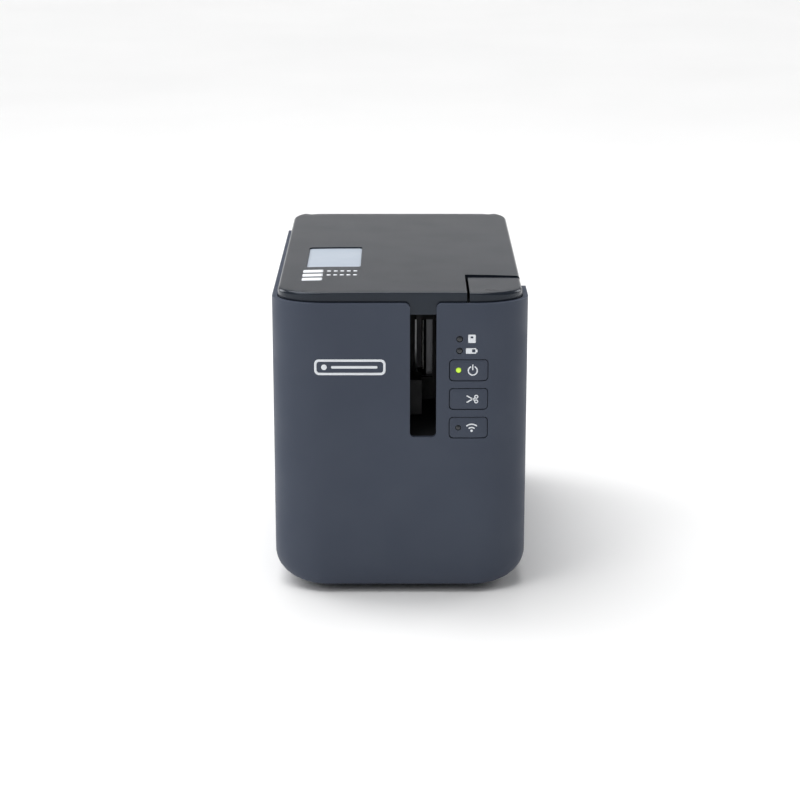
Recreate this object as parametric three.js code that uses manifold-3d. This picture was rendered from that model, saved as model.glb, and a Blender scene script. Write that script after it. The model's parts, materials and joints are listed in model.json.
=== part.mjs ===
// Desktop label maker with a lift-up lid, a loaded tape cassette, a roller feed and a swinging cutter.
// Millimetres. The front faces -Y, +X is to the right, +Z is up, and the origin is on the table
// under the middle of the case.

import * as THREE from 'three';
import { mergeVertices } from 'three/addons/utils/BufferGeometryUtils.js';
import Module from 'manifold-3d';

// ---- Driving dimensions ----------------------------------------------------------------------

const CASE_WIDTH = 118;
const CASE_DEPTH = 192;
const OVERALL_HEIGHT = 146;
const RIM_HEIGHT_BELOW_TOP = 7;
const FOOT_HEIGHT = 3.3;
const WALL = 2.4;
const FRONT_CORNER = { wide: 25, deep: 18 };
const REAR_CORNER = 18;
const BOTTOM_EDGE_RADIUS = 13;
const BOTTOM_END_RADIUS = 3;
const FRONT_COVER_DEPTH = 38.2;
const BOTTOM_HALF_WIDTH = 41;

const GAP = 0.3;
const LID_GAP = 0.4;
const LID_WALL = 2.2;
const LID_EDGE = { wide: 5, high: 4 };
const HINGE_RADIUS = 7.5;
const HINGE_PIN_RADIUS = 2;
const HINGE_EYE_RADIUS = 4.5;
const HINGE_TOWER = { inner: 36, outer: 40, play: 0.6, lug: 5.4 };
const LATCH = { y: 20, height: 2.7, radius: 2.2, hookRise: 7.7, hook: [23, 27.5], arm: [37, 42] };
const LATCH_EARS = { left: [31.2, 33.7], right: [43.2, 45.2], reach: 3.4 };
const GUIDE_POSTS = [[48.5, 16], [36.5, 33]];
const GUIDE_POST_RADIUS = 1.8;
const SPRING = { radius: 3, wire: 0.4, turns: 4 };
const PANE = { thickness: 1.5, lap: 1.6 };
const LINER_THICKNESS = 1.6;

const WINDOW = { left: -44.7, right: -18.7, front: 55, rear: 98.3, corner: 1.5 };
const BUTTON_NOTCH = { left: 31, rear: 38 };
const NOTCH_GAP = 0.65;
const RELEASE_TRAVEL = 2.5;

const SLOT = { centre: 10.55, width: 12.1, drop: 62.9, bottomRadius: 2, lipRadius: 2.3 };
const CAP = { centre: 31.4, width: 17.3, height: 9.6, corner: 1.7, gap: 0.5 };
const CAP_FLANGE = { reach: 1.3, gap: 1.3, thickness: 1.2 };
const CAP_DROPS = { power: 31.1, cutter: 44.65, wireless: 58.35 };
const CAP_TRAVEL = 0.8;
const LAMP = { x: 27.1, radius: 1.4, tapeDrop: 16.4, batteryDrop: 21.9, capX: 26.7, capRadius: 1.2 };

const DECK_GAP = 0.7;
const DECK_THICKNESS = 2;
const BAY_DEPTH = 36.5;
const BAY_FLOOR = 3;
const BAY_WALL = 2.2;
const CASSETTE = { left: -50, right: 7, length: 80, front: 46, height: 32, wall: 1.5 };
const HEAD_NOTCH = { left: 0.5, length: 26 };
const CASSETTE_CLEARANCE = 0.8;
const MECHANISM_RIGHT = 30;

const TAPE = { x: 11, thickness: 0.4, width: 24 };
const CUTTER_OFFSET = 38;
const PRINT_OFFSET = 60;
const ROLLER_RADIUS = 5;
const ROLLER_SHAFT_RADIUS = 1.6;
const ARM_LENGTH = 34;
const ARM_OFFSET = 4;
const REEL_RADIUS = 19;
const REEL_BORE = 8;

const GEAR_MODULE = 1;
const TEETH = { motor: 12, driveLower: 32, driveUpper: 18, platen: 12, ribbon: 28, cam: 24, cutter: 12 };
const PRESSURE_ANGLE = THREE.MathUtils.degToRad(25);
const BACKLASH = 0.16;
const ADDENDUM = 0.92;
const DEDENDUM = 1.25;
const GEAR_WIDTH = 4;
const GEAR_PIN_RADIUS = 1.5;
const CRANK_RADIUS = 5.5;
const CRANK_REST = -Math.PI / 4;
const BLADE_LEVER = 20;
const CRANK_PIN_RADIUS = 1.2;

const FEED_MOTOR = { radius: 12.5, length: 19.7 };
const CUTTER_MOTOR = { radius: 7.5, length: 22, nose: 3 };
const BATTERY = { width: 60, length: 40, height: 18, cover: 4 };
const FOOT = { radius: 5.7, x: 33, front: 50, rear: 30, recess: 0.8 };
const BOARD = 1.6;
const BOARD_POST = { height: 24.3, radius: 3 };
const COOLING = { halfWidth: 24, width: 2, pitch: 7, count: 5, drop: 52 };
const CHUTE_WALL = 2;
const USB = { x: -15, width: 12.1, height: 11, length: 16, wall: 1.4 };
const INLET = { x: 10, width: 9, height: 11, length: 14, bore: 3.3 };

// ---- Places that follow from them --------------------------------------------------------------

const halfWidth = CASE_WIDTH / 2;
const front = -CASE_DEPTH / 2;
const rear = CASE_DEPTH / 2;
const rim = OVERALL_HEIGHT - RIM_HEIGHT_BELOW_TOP;
const lidInset = WALL + LID_GAP;
const lidUnderside = OVERALL_HEIGHT - LID_WALL;
const frontSeam = front + FRONT_COVER_DEPTH;
const rearSeam = rear - REAR_CORNER + 1;
const floorTop = FOOT_HEIGHT + WALL;
const boardBottom = floorTop + BOARD_POST.height + GAP;
const socketBottom = boardBottom + BOARD + GAP;

const hingeY = rear - lidInset - HINGE_RADIUS;
const hingeZ = OVERALL_HEIGHT - HINGE_RADIUS;
const lowRim = hingeZ - HINGE_RADIUS - GAP;

const deckTop = lowRim - DECK_GAP;
const deckBottom = deckTop - DECK_THICKNESS;
const bayFloorTop = deckTop - BAY_DEPTH;
const bayFloorBottom = bayFloorTop - BAY_FLOOR;
const cassetteBottom = bayFloorTop + GAP;
const cassetteTop = cassetteBottom + CASSETTE.height;
const cassetteFront = front + CASSETTE.front;
const cassetteRear = cassetteFront + CASSETTE.length;
const bayFront = cassetteFront - CASSETTE_CLEARANCE;
const bayRear = cassetteRear + CASSETTE_CLEARANCE;
const bayLeft = CASSETTE.left - CASSETTE_CLEARANCE;
const bayRight = CASSETTE.right + CASSETTE_CLEARANCE;
const mechanismRear = cassetteFront + 58;

const upperGearTop = bayFloorBottom - 1;
const upperGearBottom = upperGearTop - GEAR_WIDTH;
const lowerGearTop = upperGearBottom - 1;
const lowerGearBottom = lowerGearTop - GEAR_WIDTH;
const chassisTop = lowerGearBottom - 1.5;
const chassisBottom = chassisTop - 2.5;
const chassisRear = bayRear + 30;

const tapeMiddle = (cassetteBottom + cassetteTop) / 2;
const tapeBottom = tapeMiddle - TAPE.width / 2;
const tapeTop = tapeMiddle + TAPE.width / 2;
const tapeRight = TAPE.x + TAPE.thickness / 2;
const tapeLeft = TAPE.x - TAPE.thickness / 2;

const pitch = teeth => teeth * GEAR_MODULE / 2;
const printY = front + PRINT_OFFSET;
const cutY = front + CUTTER_OFFSET;
const rollerX = tapeRight + GAP + ROLLER_RADIUS;
const driveX = rollerX - pitch(TEETH.driveUpper) - pitch(TEETH.platen);
const motorY = printY + pitch(TEETH.motor) + pitch(TEETH.driveLower);
const ribbonAngle = THREE.MathUtils.degToRad(155);
const ribbonDistance = pitch(TEETH.ribbon) + pitch(TEETH.driveUpper);
const ribbonX = driveX + ribbonDistance * Math.cos(ribbonAngle);
const ribbonY = printY + ribbonDistance * Math.sin(ribbonAngle);
const armX = rollerX + ARM_OFFSET;
const armY = printY + ARM_LENGTH;

const fixedBladeLeft = tapeRight + 0.5;
const bladePivotX = fixedBladeLeft + 0.8;
const bladePivotZ = tapeBottom - 12;
const camX = bladePivotX - BLADE_LEVER - CRANK_RADIUS;
const camZ = bladePivotZ;
const crankX = camX + CRANK_RADIUS * Math.cos(CRANK_REST);
const crankZ = camZ + CRANK_RADIUS * Math.sin(CRANK_REST);
const restLever = Math.atan2(camZ - crankZ, bladePivotX - crankX);
const cutterMotorZ = camZ - pitch(TEETH.cam) - pitch(TEETH.cutter);

const frameBack = cutY - 1.1;
const frameFront = frameBack - 1.4;
const fixedBladeFront = frameBack + GAP;
const movingBladeFront = fixedBladeFront + 1 + GAP;
const camGearFront = movingBladeFront + 1 + GAP + 0.1;
const camGearBack = camGearFront + 2.7;

const slotLeft = SLOT.centre - SLOT.width / 2;
const slotRight = SLOT.centre + SLOT.width / 2;
const slotBottom = rim - SLOT.drop;
const chuteLeft = slotLeft - CHUTE_WALL;
const chuteRight = slotRight + CHUTE_WALL;
const boardFront = front + WALL + 6.7;
const switchFront = boardFront - 2.6;
const notchX = BUTTON_NOTCH.left;
const notchY = front + BUTTON_NOTCH.rear;
const latchY = front + LATCH.y;
const latchZ = deckTop + LATCH.height;
const hookTop = latchZ + LATCH.hookRise;
const guidePosts = GUIDE_POSTS.map(([x, y]) => [x, front + y]);
const paneTop = lidUnderside - GAP;
const paneBottom = paneTop - PANE.thickness;
const linerTop = paneBottom - GAP;
const linerBottom = linerTop - LINER_THICKNESS;
const batteryMiddle = (frontSeam + rearSeam) / 2 + 4;
const batteryFront = batteryMiddle - BATTERY.length / 2;
const batteryRear = batteryMiddle + BATTERY.length / 2;
const feet = [-FOOT.x, FOOT.x].flatMap(x => [front + FOOT.front, rear - FOOT.rear].map(y => [x, y]));
const armBottom = bayFloorTop + 0.7;
const armTop = armBottom + CASSETTE.height - 0.4;
const armBack = rollerX + ROLLER_RADIUS + 2.7;
const rollerBottom = armBottom + 2.8;
const rollerTop = armTop - 2.8;
const headFace = tapeLeft - GAP;
const reelX = -24;
const reelY = cassetteFront + 56;

// ---- Geometry helpers --------------------------------------------------------------------------

const wasm = await Module();
wasm.setup();

/** Turns a closed three.js geometry into a solid that can be joined and cut. */
function solidOf(geometry) {
  const bare = geometry.index ? geometry.toNonIndexed() : geometry.clone();
  bare.deleteAttribute('normal');
  bare.deleteAttribute('uv');
  const merged = mergeVertices(bare);
  const vertProperties = new Float32Array(merged.attributes.position.array);
  const triVerts = new Uint32Array(merged.index.array);
  return new wasm.Manifold(new wasm.Mesh({ numProp: 3, vertProperties, triVerts }));
}

/** Turns a solid back into a three.js geometry. */
function geometryOf(solid) {
  const mesh = solid.getMesh();
  const geometry = new THREE.BufferGeometry();
  geometry.setAttribute('position', new THREE.BufferAttribute(new Float32Array(mesh.vertProperties), 3));
  geometry.setIndex(new THREE.BufferAttribute(new Uint32Array(mesh.triVerts), 1));
  geometry.computeVertexNormals();
  return geometry;
}

const join = solids => solids.reduce((whole, solid) => whole.add(solid));
const cut = (solid, tools) => tools.reduce((rest, tool) => rest.subtract(tool), solid);

/** Box between two corners. */
function block(x0, x1, y0, y1, z0, z1) {
  const geometry = new THREE.BoxGeometry(x1 - x0, y1 - y0, z1 - z0);
  geometry.translate((x0 + x1) / 2, (y0 + y1) / 2, (z0 + z1) / 2);
  return solidOf(geometry);
}

/** Upright rod around (x, y). */
function post(x, y, radius, z0, z1, sides = 16) {
  const geometry = new THREE.CylinderGeometry(radius, radius, z1 - z0, sides);
  geometry.rotateX(Math.PI / 2);
  geometry.translate(x, y, (z0 + z1) / 2);
  return solidOf(geometry);
}

/** Rod along Y around (x, z). */
function rodY(x, z, radius, y0, y1, sides = 16) {
  const geometry = new THREE.CylinderGeometry(radius, radius, y1 - y0, sides);
  geometry.translate(x, (y0 + y1) / 2, z);
  return solidOf(geometry);
}

/** Rod along X around (y, z). */
function rodX(y, z, radius, x0, x1, sides = 16) {
  const geometry = new THREE.CylinderGeometry(radius, radius, x1 - x0, sides);
  geometry.rotateZ(-Math.PI / 2);
  geometry.translate((x0 + x1) / 2, y, z);
  return solidOf(geometry);
}

/** Prism of an outline in X and Y, standing from z0 to z1. */
function prismZ(shape, z0, z1, curveSegments = 4) {
  const geometry = new THREE.ExtrudeGeometry(shape, { depth: z1 - z0, bevelEnabled: false, curveSegments });
  geometry.translate(0, 0, z0);
  return solidOf(geometry);
}

/** Prism of an outline in X and Z, running from y0 to y1. */
function prismY(shape, y0, y1, curveSegments = 4) {
  const geometry = new THREE.ExtrudeGeometry(shape, { depth: y1 - y0, bevelEnabled: false, curveSegments });
  geometry.rotateX(Math.PI / 2);
  geometry.translate(0, y1, 0);
  return solidOf(geometry);
}

/** Prism of an outline in Y and Z, running from x0 to x1. */
function prismX(shape, x0, x1, curveSegments = 4) {
  const geometry = new THREE.ExtrudeGeometry(shape, { depth: x1 - x0, bevelEnabled: false, curveSegments });
  geometry.applyMatrix4(new THREE.Matrix4().makeBasis(
    new THREE.Vector3(0, 1, 0),
    new THREE.Vector3(0, 0, 1),
    new THREE.Vector3(1, 0, 0),
  ));
  geometry.translate(x0, 0, 0);
  return solidOf(geometry);
}

/** Outline through straight corners. */
const polygon = points => new THREE.Shape(points.map(([u, v]) => new THREE.Vector2(u, v)));

/** Rectangle with rounded corners. */
function roundedRect(u0, u1, v0, v1, radius) {
  const shape = new THREE.Shape();
  shape.absarc(u1 - radius, v1 - radius, radius, 0, Math.PI / 2);
  shape.absarc(u0 + radius, v1 - radius, radius, Math.PI / 2, Math.PI);
  shape.absarc(u0 + radius, v0 + radius, radius, Math.PI, 1.5 * Math.PI);
  shape.absarc(u1 - radius, v0 + radius, radius, 1.5 * Math.PI, 2 * Math.PI);
  return shape;
}

// ---- Finishes ------------------------------------------------------------------------------------

const FINISHES = {
  casePlastic: { color: 0x4b5261, roughness: 0.62, metalness: 0 },
  lidPlastic: { color: 0x1e2128, roughness: 0.3, metalness: 0 },
  windowPlastic: { color: 0xbec8d4, roughness: 0.15, metalness: 0 },
  blackPlastic: { color: 0x17181b, roughness: 0.55, metalness: 0 },
  gearPlastic: { color: 0xe6e2d6, roughness: 0.45, metalness: 0 },
  cassettePlastic: { color: 0x9da2a8, roughness: 0.5, metalness: 0 },
  tapePaper: { color: 0xf4f4f0, roughness: 0.6, metalness: 0 },
  ribbonFilm: { color: 0x101012, roughness: 0.35, metalness: 0 },
  rubber: { color: 0x202124, roughness: 0.9, metalness: 0 },
  steel: { color: 0xa9adb2, roughness: 0.35, metalness: 1 },
  aluminium: { color: 0xc8cacc, roughness: 0.4, metalness: 1 },
  brass: { color: 0xc9a24f, roughness: 0.35, metalness: 1 },
  ceramic: { color: 0xe9e6dd, roughness: 0.3, metalness: 0 },
  circuitBoard: { color: 0x1f6b3a, roughness: 0.5, metalness: 0 },
  litLamp: { color: 0xbfe25a, roughness: 0.3, metalness: 0 },
  clearLamp: { color: 0x8d949c, roughness: 0.25, metalness: 0 },
  batteryWrap: { color: 0x23262c, roughness: 0.5, metalness: 0 },
};

/** Named mesh of a solid in one of the finishes. */
function piece(name, solid, finish) {
  const mesh = new THREE.Mesh(geometryOf(solid), new THREE.MeshStandardMaterial(FINISHES[finish]));
  mesh.name = name;
  return mesh;
}

// ---- Gears ---------------------------------------------------------------------------------------

/** Involute gear outline around (0, 0), with the middle of one tooth at the phase angle. */
function gearShape(teeth, phase, bore) {
  const pitchRadius = pitch(teeth);
  const baseRadius = pitchRadius * Math.cos(PRESSURE_ANGLE);
  const involute = radius => {
    const angle = Math.acos(Math.min(1, baseRadius / radius));
    return Math.tan(angle) - angle;
  };
  const halfTooth = Math.PI / (2 * teeth) - BACKLASH / (2 * pitchRadius) + involute(pitchRadius);
  const radii = [pitchRadius - DEDENDUM, pitchRadius, pitchRadius + ADDENDUM];
  const flank = radii.map(radius => [radius, halfTooth - involute(radius)]);
  const points = [];
  for (let tooth = 0; tooth < teeth; tooth++) {
    const middle = phase + 2 * Math.PI * tooth / teeth;
    for (const [radius, half] of flank) points.push(polar(radius, middle - half));
    for (const [radius, half] of [...flank].reverse()) points.push(polar(radius, middle + half));
  }
  const shape = new THREE.Shape(points);
  const hole = new THREE.Path();
  hole.absarc(0, 0, bore, 0, 2 * Math.PI, true);
  shape.holes.push(hole);
  return shape;
}

const polar = (radius, angle) => new THREE.Vector2(radius * Math.cos(angle), radius * Math.sin(angle));

/** Phase that meshes a gear with a driver whose phase is known, along the line to the new gear. */
function meshedPhase(driverTeeth, driverPhase, teeth, direction) {
  return direction + Math.PI + (direction - driverPhase) * driverTeeth / teeth + Math.PI / teeth;
}

/** Upright gear at (x, y). */
function gearZ(x, y, teeth, phase, bore, z0, z1) {
  const geometry = new THREE.ExtrudeGeometry(gearShape(teeth, phase, bore), {
    depth: z1 - z0, bevelEnabled: false, curveSegments: 8,
  });
  geometry.translate(x, y, z0);
  return solidOf(geometry);
}

/** Gear with its axis along Y at (x, z). */
function gearY(x, z, teeth, phase, bore, y0, y1) {
  const geometry = new THREE.ExtrudeGeometry(gearShape(teeth, phase, bore), {
    depth: y1 - y0, bevelEnabled: false, curveSegments: 8,
  });
  geometry.rotateX(Math.PI / 2);
  geometry.translate(x, y1, z);
  return solidOf(geometry);
}

// ---- Case ----------------------------------------------------------------------------------------

/** Plan outline of the case, moved in by an inset. */
function planShape(inset) {
  const x = halfWidth - inset;
  const y0 = front + inset;
  const y1 = rear - inset;
  const wide = FRONT_CORNER.wide - inset;
  const deep = FRONT_CORNER.deep - inset;
  const back = REAR_CORNER - inset;
  const shape = new THREE.Shape();
  shape.absarc(x - back, y1 - back, back, 0, Math.PI / 2);
  shape.absarc(-x + back, y1 - back, back, Math.PI / 2, Math.PI);
  shape.absellipse(-x + wide, y0 + deep, wide, deep, Math.PI, 1.5 * Math.PI);
  shape.absellipse(x - wide, y0 + deep, wide, deep, 1.5 * Math.PI, 2 * Math.PI);
  return shape;
}

/** Upright outline with two rounded bottom corners and square top ones. */
function tubShape(u0, u1, v0, v1, radius) {
  const shape = new THREE.Shape();
  shape.moveTo(u1, v1);
  shape.lineTo(u0, v1);
  shape.absarc(u0 + radius, v0 + radius, radius, Math.PI, 1.5 * Math.PI);
  shape.absarc(u1 - radius, v0 + radius, radius, 1.5 * Math.PI, 2 * Math.PI);
  return shape;
}

/** Solid of the case's outer form, moved in by an inset, up to a given height. */
function caseForm(inset, top) {
  const bottom = FOOT_HEIGHT + inset;
  const across = tubShape(-halfWidth + inset, halfWidth - inset, bottom, top, BOTTOM_EDGE_RADIUS - inset);
  const along = tubShape(front + inset, rear - inset, bottom, top, Math.max(BOTTOM_END_RADIUS - inset, 0.3));
  return prismZ(planShape(inset), bottom, top, 5)
    .intersect(prismY(across, front - 1, rear + 1, 3))
    .intersect(prismX(along, -halfWidth - 1, halfWidth + 1, 1));
}

/** Thin outer shell of the case, before it is split into covers. */
function caseShell() {
  const lowered = [
    block(-halfWidth - 1, halfWidth + 1, rearSeam, rear + 1, lowRim, rim + 1),
    block(0, halfWidth + 1, frontSeam, rear + 1, lowRim, rim + 1),
  ];
  return cut(caseForm(0, rim), [caseForm(WALL, rim + 5), ...lowered]);
}

/** Slot outline with a rounded bottom and lips that flare at the rim. */
function slotShape() {
  const r = SLOT.bottomRadius;
  const lip = SLOT.lipRadius;
  const shape = new THREE.Shape();
  shape.moveTo(slotRight + lip, rim + 1);
  shape.lineTo(slotLeft - lip, rim + 1);
  shape.absarc(slotLeft - lip, rim - lip, lip, Math.PI / 2, 0, true);
  shape.absarc(slotLeft + r, slotBottom + r, r, Math.PI, 1.5 * Math.PI);
  shape.absarc(slotRight - r, slotBottom + r, r, 1.5 * Math.PI, 2 * Math.PI);
  shape.absarc(slotRight + lip, rim - lip, lip, Math.PI, Math.PI / 2, true);
  return shape;
}

const capZ = drop => rim - drop;
const capRect = (drop, grow) => roundedRect(
  CAP.centre - CAP.width / 2 - grow,
  CAP.centre + CAP.width / 2 + grow,
  capZ(drop) - CAP.height / 2 - grow,
  capZ(drop) + CAP.height / 2 + grow,
  CAP.corner + grow,
);

const boardBosses = [22, 41].flatMap(x => [deckBottom - 3.5, rim - 67.5].map(z => [x, z]));

/** Front wall with its rounded corners, slot, button holes, lamp holes and board bosses. */
function frontCover(shell) {
  const region = block(-halfWidth - 1, halfWidth + 1, front - 1, frontSeam - GAP / 2, 0, rim + 1);
  const bosses = boardBosses.map(([x, z]) => rodY(x, z, 2.2, front + WALL - 0.5, boardFront - GAP, 10));
  const through = [front - 1, front + WALL + 1];
  const slot = prismY(slotShape(), ...through, 2);
  const holes = Object.values(CAP_DROPS).map(drop => prismY(capRect(drop, CAP.gap), ...through, 2));
  const lamps = [LAMP.tapeDrop, LAMP.batteryDrop].map(
    drop => rodY(LAMP.x, rim - drop, LAMP.radius + GAP, ...through, 12),
  );
  return cut(join([shell.intersect(region), ...bosses]), [slot, ...holes, ...lamps]);
}

/** One side of the case, with the rounded lower edge and the rear corner. */
function sideCover(shell, side) {
  const inner = BOTTOM_HALF_WIDTH + GAP / 2;
  const [x0, x1] = side < 0 ? [-halfWidth - 1, -inner] : [inner, halfWidth + 1];
  return shell.intersect(block(x0, x1, frontSeam + GAP / 2, rear + 1, 0, rim + 1));
}

/** Rear wall between the rear corners, with the socket holes and cooling slots. */
function rearPanel(shell) {
  const x = BOTTOM_HALF_WIDTH - GAP / 2;
  const body = shell.intersect(block(-x, x, rearSeam + GAP / 2, rear + 1, 0, rim + 1));
  const sockets = [USB, INLET].map(socket => block(
    socket.x - socket.width / 2 - GAP, socket.x + socket.width / 2 + GAP, rear - WALL - 1, rear + 1,
    socketBottom - GAP, socketBottom + socket.height + GAP,
  ));
  const slots = Array.from({ length: COOLING.count }, (_, row) => {
    const bottom = rim - COOLING.drop + COOLING.pitch * row;
    return block(
      -COOLING.halfWidth, COOLING.halfWidth, rear - WALL - 1, rear + 1, bottom, bottom + COOLING.width,
    );
  });
  return cut(body, [...sockets, ...slots]);
}

const boardPosts = [-26, 26].flatMap(x => [rearSeam - 21, rearSeam - 4].map(y => [x, y]));

/** Flat floor of the case, with the battery opening, foot recesses and board posts. */
function basePlate(shell) {
  const x = BOTTOM_HALF_WIDTH - GAP / 2;
  const body = shell.intersect(block(-x, x, frontSeam + GAP / 2, rearSeam - GAP / 2, 0, floorTop + 5));
  const opening = block(
    -BATTERY.width / 2 - BATTERY.cover, BATTERY.width / 2 + BATTERY.cover,
    batteryFront - BATTERY.cover, batteryRear + BATTERY.cover, 0, floorTop + 1,
  );
  const posts = boardPosts.map(
    ([px, py]) => post(px, py, BOARD_POST.radius, floorTop - 0.5, floorTop + BOARD_POST.height, 10),
  );
  const recesses = feet.map(([fx, fy]) => post(fx, fy, FOOT.radius + GAP, 0, FOOT_HEIGHT + FOOT.recess, 20));
  return cut(join([body, ...posts]), [opening, ...recesses]);
}

/** Flush cover under the battery, with a finger groove. */
function batteryCover() {
  const reach = BATTERY.cover - GAP;
  const x = BATTERY.width / 2 + reach;
  const plate = block(-x, x, batteryFront - reach, batteryRear + reach, FOOT_HEIGHT, floorTop);
  return plate.subtract(block(-9, 9, batteryRear - 2, batteryRear, FOOT_HEIGHT - 1, FOOT_HEIGHT + 1));
}

const foot = ([x, y]) => post(x, y, FOOT.radius, 0, FOOT_HEIGHT + FOOT.recess - GAP, 20);

/** Moulded frame on four legs, which carries the gears, both motors and the bay. */
function chassis() {
  const x0 = CASSETTE.left - 2;
  const x1 = MECHANISM_RIGHT + 12;
  const y0 = bayFront - BAY_WALL;
  const plate = block(x0, x1, y0, chassisRear, chassisBottom, chassisTop);
  const tongue = block(bladePivotX + 2, bladePivotX + 14, frameFront, y0 + 1, chassisBottom, chassisTop);
  const corners = [x0 + 10, x1 - 6].flatMap(x => [y0 + 7, chassisRear - 6].map(y => [x, y]));
  const legs = corners.map(([x, y]) => block(x - 4, x + 4, y - 4, y + 4, floorTop + GAP, chassisBottom + 1));
  const standoffPlaces = [
    [x0 + 4, y0 + 7], [MECHANISM_RIGHT - 2.8, y0 + 7], [x0 + 4, bayRear - 3], [bayRight - 3.8, bayRear - 3],
  ];
  const standoffs = standoffPlaces.map(
    ([x, y]) => block(x - 2.5, x + 2.5, y - 2.5, y + 2.5, chassisTop - 1, bayFloorBottom - GAP),
  );
  const motorPlate = block(
    camX - 11, camX + 11, y0, y0 + 2, cutterMotorZ - CUTTER_MOTOR.radius - 2, chassisBottom + 1,
  );
  const holes = [
    post(driveX, motorY, 4.3, chassisBottom - 1, chassisTop + 1),
    ...[[driveX, printY], [ribbonX, ribbonY]].map(
      ([x, y]) => post(x, y, GEAR_PIN_RADIUS + GAP, chassisBottom - 1, chassisTop + 1, 12),
    ),
    rodY(camX, cutterMotorZ, CUTTER_MOTOR.nose + GAP, y0 - 1, y0 + 3),
  ];
  return cut(join([plate, tongue, ...legs, ...standoffs, motorPlate]), holes);
}

/** Deck under the lid with the cassette bay sunk into it and the hinge towers on it. */
function bayFrame() {
  const deck = prismZ(planShape(lidInset), deckBottom, deckTop);
  const tub = join([
    block(
      bayLeft - BAY_WALL, bayRight + BAY_WALL, bayFront - BAY_WALL, bayRear + BAY_WALL,
      bayFloorBottom, deckTop,
    ),
    block(
      bayRight, MECHANISM_RIGHT + BAY_WALL, bayFront - BAY_WALL, mechanismRear + BAY_WALL,
      bayFloorBottom, deckTop,
    ),
  ]);
  const hollow = join([
    block(bayLeft, bayRight, bayFront, bayRear, bayFloorTop, rim),
    block(bayRight - 1, MECHANISM_RIGHT, bayFront, mechanismRear, bayFloorTop, rim),
  ]);
  const openings = [
    block(5, MECHANISM_RIGHT, bayFront - BAY_WALL - 1, bayFront + 1, bayFloorTop, deckBottom),
    block(
      rollerX - 3.3, rollerX + 7.2, printY - 3.2, printY + 2.8, bayFloorBottom - 1, bayFloorTop + 1,
    ),
    post(ribbonX, ribbonY, 4.5, bayFloorBottom - 1, bayFloorTop + 1),
    post(armX, armY, 2.8, bayFloorBottom - 1, bayFloorTop + 1),
    block(
      chuteLeft - GAP, chuteRight + GAP, front, frameFront - GAP, deckBottom - 1, deckTop + 1,
    ),
    ...guidePosts.map(
      ([x, y]) => post(x, y, GUIDE_POST_RADIUS + 0.4, deckBottom - 1, deckTop + 1, 12),
    ),
    block(LATCH.arm[0] - 1, LATCH.arm[1] + 1, latchY + 5.5, latchY + 11.5, deckBottom - 1, deckTop + 1),
  ];
  const earReach = LATCH_EARS.reach;
  const ears = [LATCH_EARS.left, LATCH_EARS.right].map(
    ([x0, x1]) => block(x0, x1, latchY - earReach, latchY + earReach, deckTop - 1, latchZ + earReach),
  );
  const earBore = rodX(
    latchY, latchZ, LATCH.radius + GAP, LATCH_EARS.left[0] - 1, LATCH_EARS.right[1] + 1, 12,
  );
  const towers = [-1, 1].map(side => hingeTower(side));
  return join([cut(join([cut(join([deck, tub]), [hollow]), ...ears]), [...openings, earBore]), ...towers]);
}

/** Ends along X of something on one side, from its near and far distance to the middle. */
const sideSpan = (side, near, far) => side > 0 ? [near, far] : [-far, -near];

/** Tower that carries one end of the lid's hinge. */
function hingeTower(side) {
  const [x0, x1] = sideSpan(side, HINGE_TOWER.inner, HINGE_TOWER.outer);
  const column = block(x0, x1, hingeY - 3, hingeY + 2.2, deckTop - 1, hingeZ);
  const eye = rodX(hingeY, hingeZ, HINGE_EYE_RADIUS, x0, x1, 20);
  return join([column, eye]).subtract(rodX(hingeY, hingeZ, HINGE_PIN_RADIUS + GAP, x0 - 1, x1 + 1, 12));
}

/** Pin through one hinge tower and its lug. */
function hingePin(side) {
  const { inner, outer, play, lug } = HINGE_TOWER;
  const [x0, x1] = sideSpan(side, inner - play - lug, outer + 1);
  return rodX(hingeY, hingeZ, HINGE_PIN_RADIUS, x0, x1);
}

// ---- Lid, release button and latch ---------------------------------------------------------------

/** Solid of the lid's outer form with a soft top edge and a round back. */
function lidForm(inset) {
  const top = OVERALL_HEIGHT - inset;
  const edgeWide = Math.max(LID_EDGE.wide - inset, 1);
  const edgeHigh = Math.max(LID_EDGE.high - inset, 1);
  const body = new THREE.ExtrudeGeometry(planShape(lidInset + inset), {
    depth: 30, curveSegments: 4, bevelSegments: 4,
    bevelEnabled: true, bevelThickness: edgeHigh, bevelSize: edgeWide, bevelOffset: -edgeWide,
  });
  body.translate(0, 0, top - edgeHigh - 30);
  return solidOf(body).intersect(prismX(lidSide(inset), -halfWidth, halfWidth, 6));
}

/** Side outline of the lid: flat top, round back about the hinge, open below. */
function lidSide(inset) {
  const radius = HINGE_RADIUS - inset;
  const bottom = hingeZ - radius;
  const shape = new THREE.Shape();
  shape.moveTo(front, bottom);
  shape.lineTo(hingeY, bottom);
  shape.absarc(hingeY, hingeZ, radius, -Math.PI / 2, Math.PI / 2);
  shape.lineTo(front, hingeZ + radius);
  return shape;
}

const skirtBottom = rim - 5.6;

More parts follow.
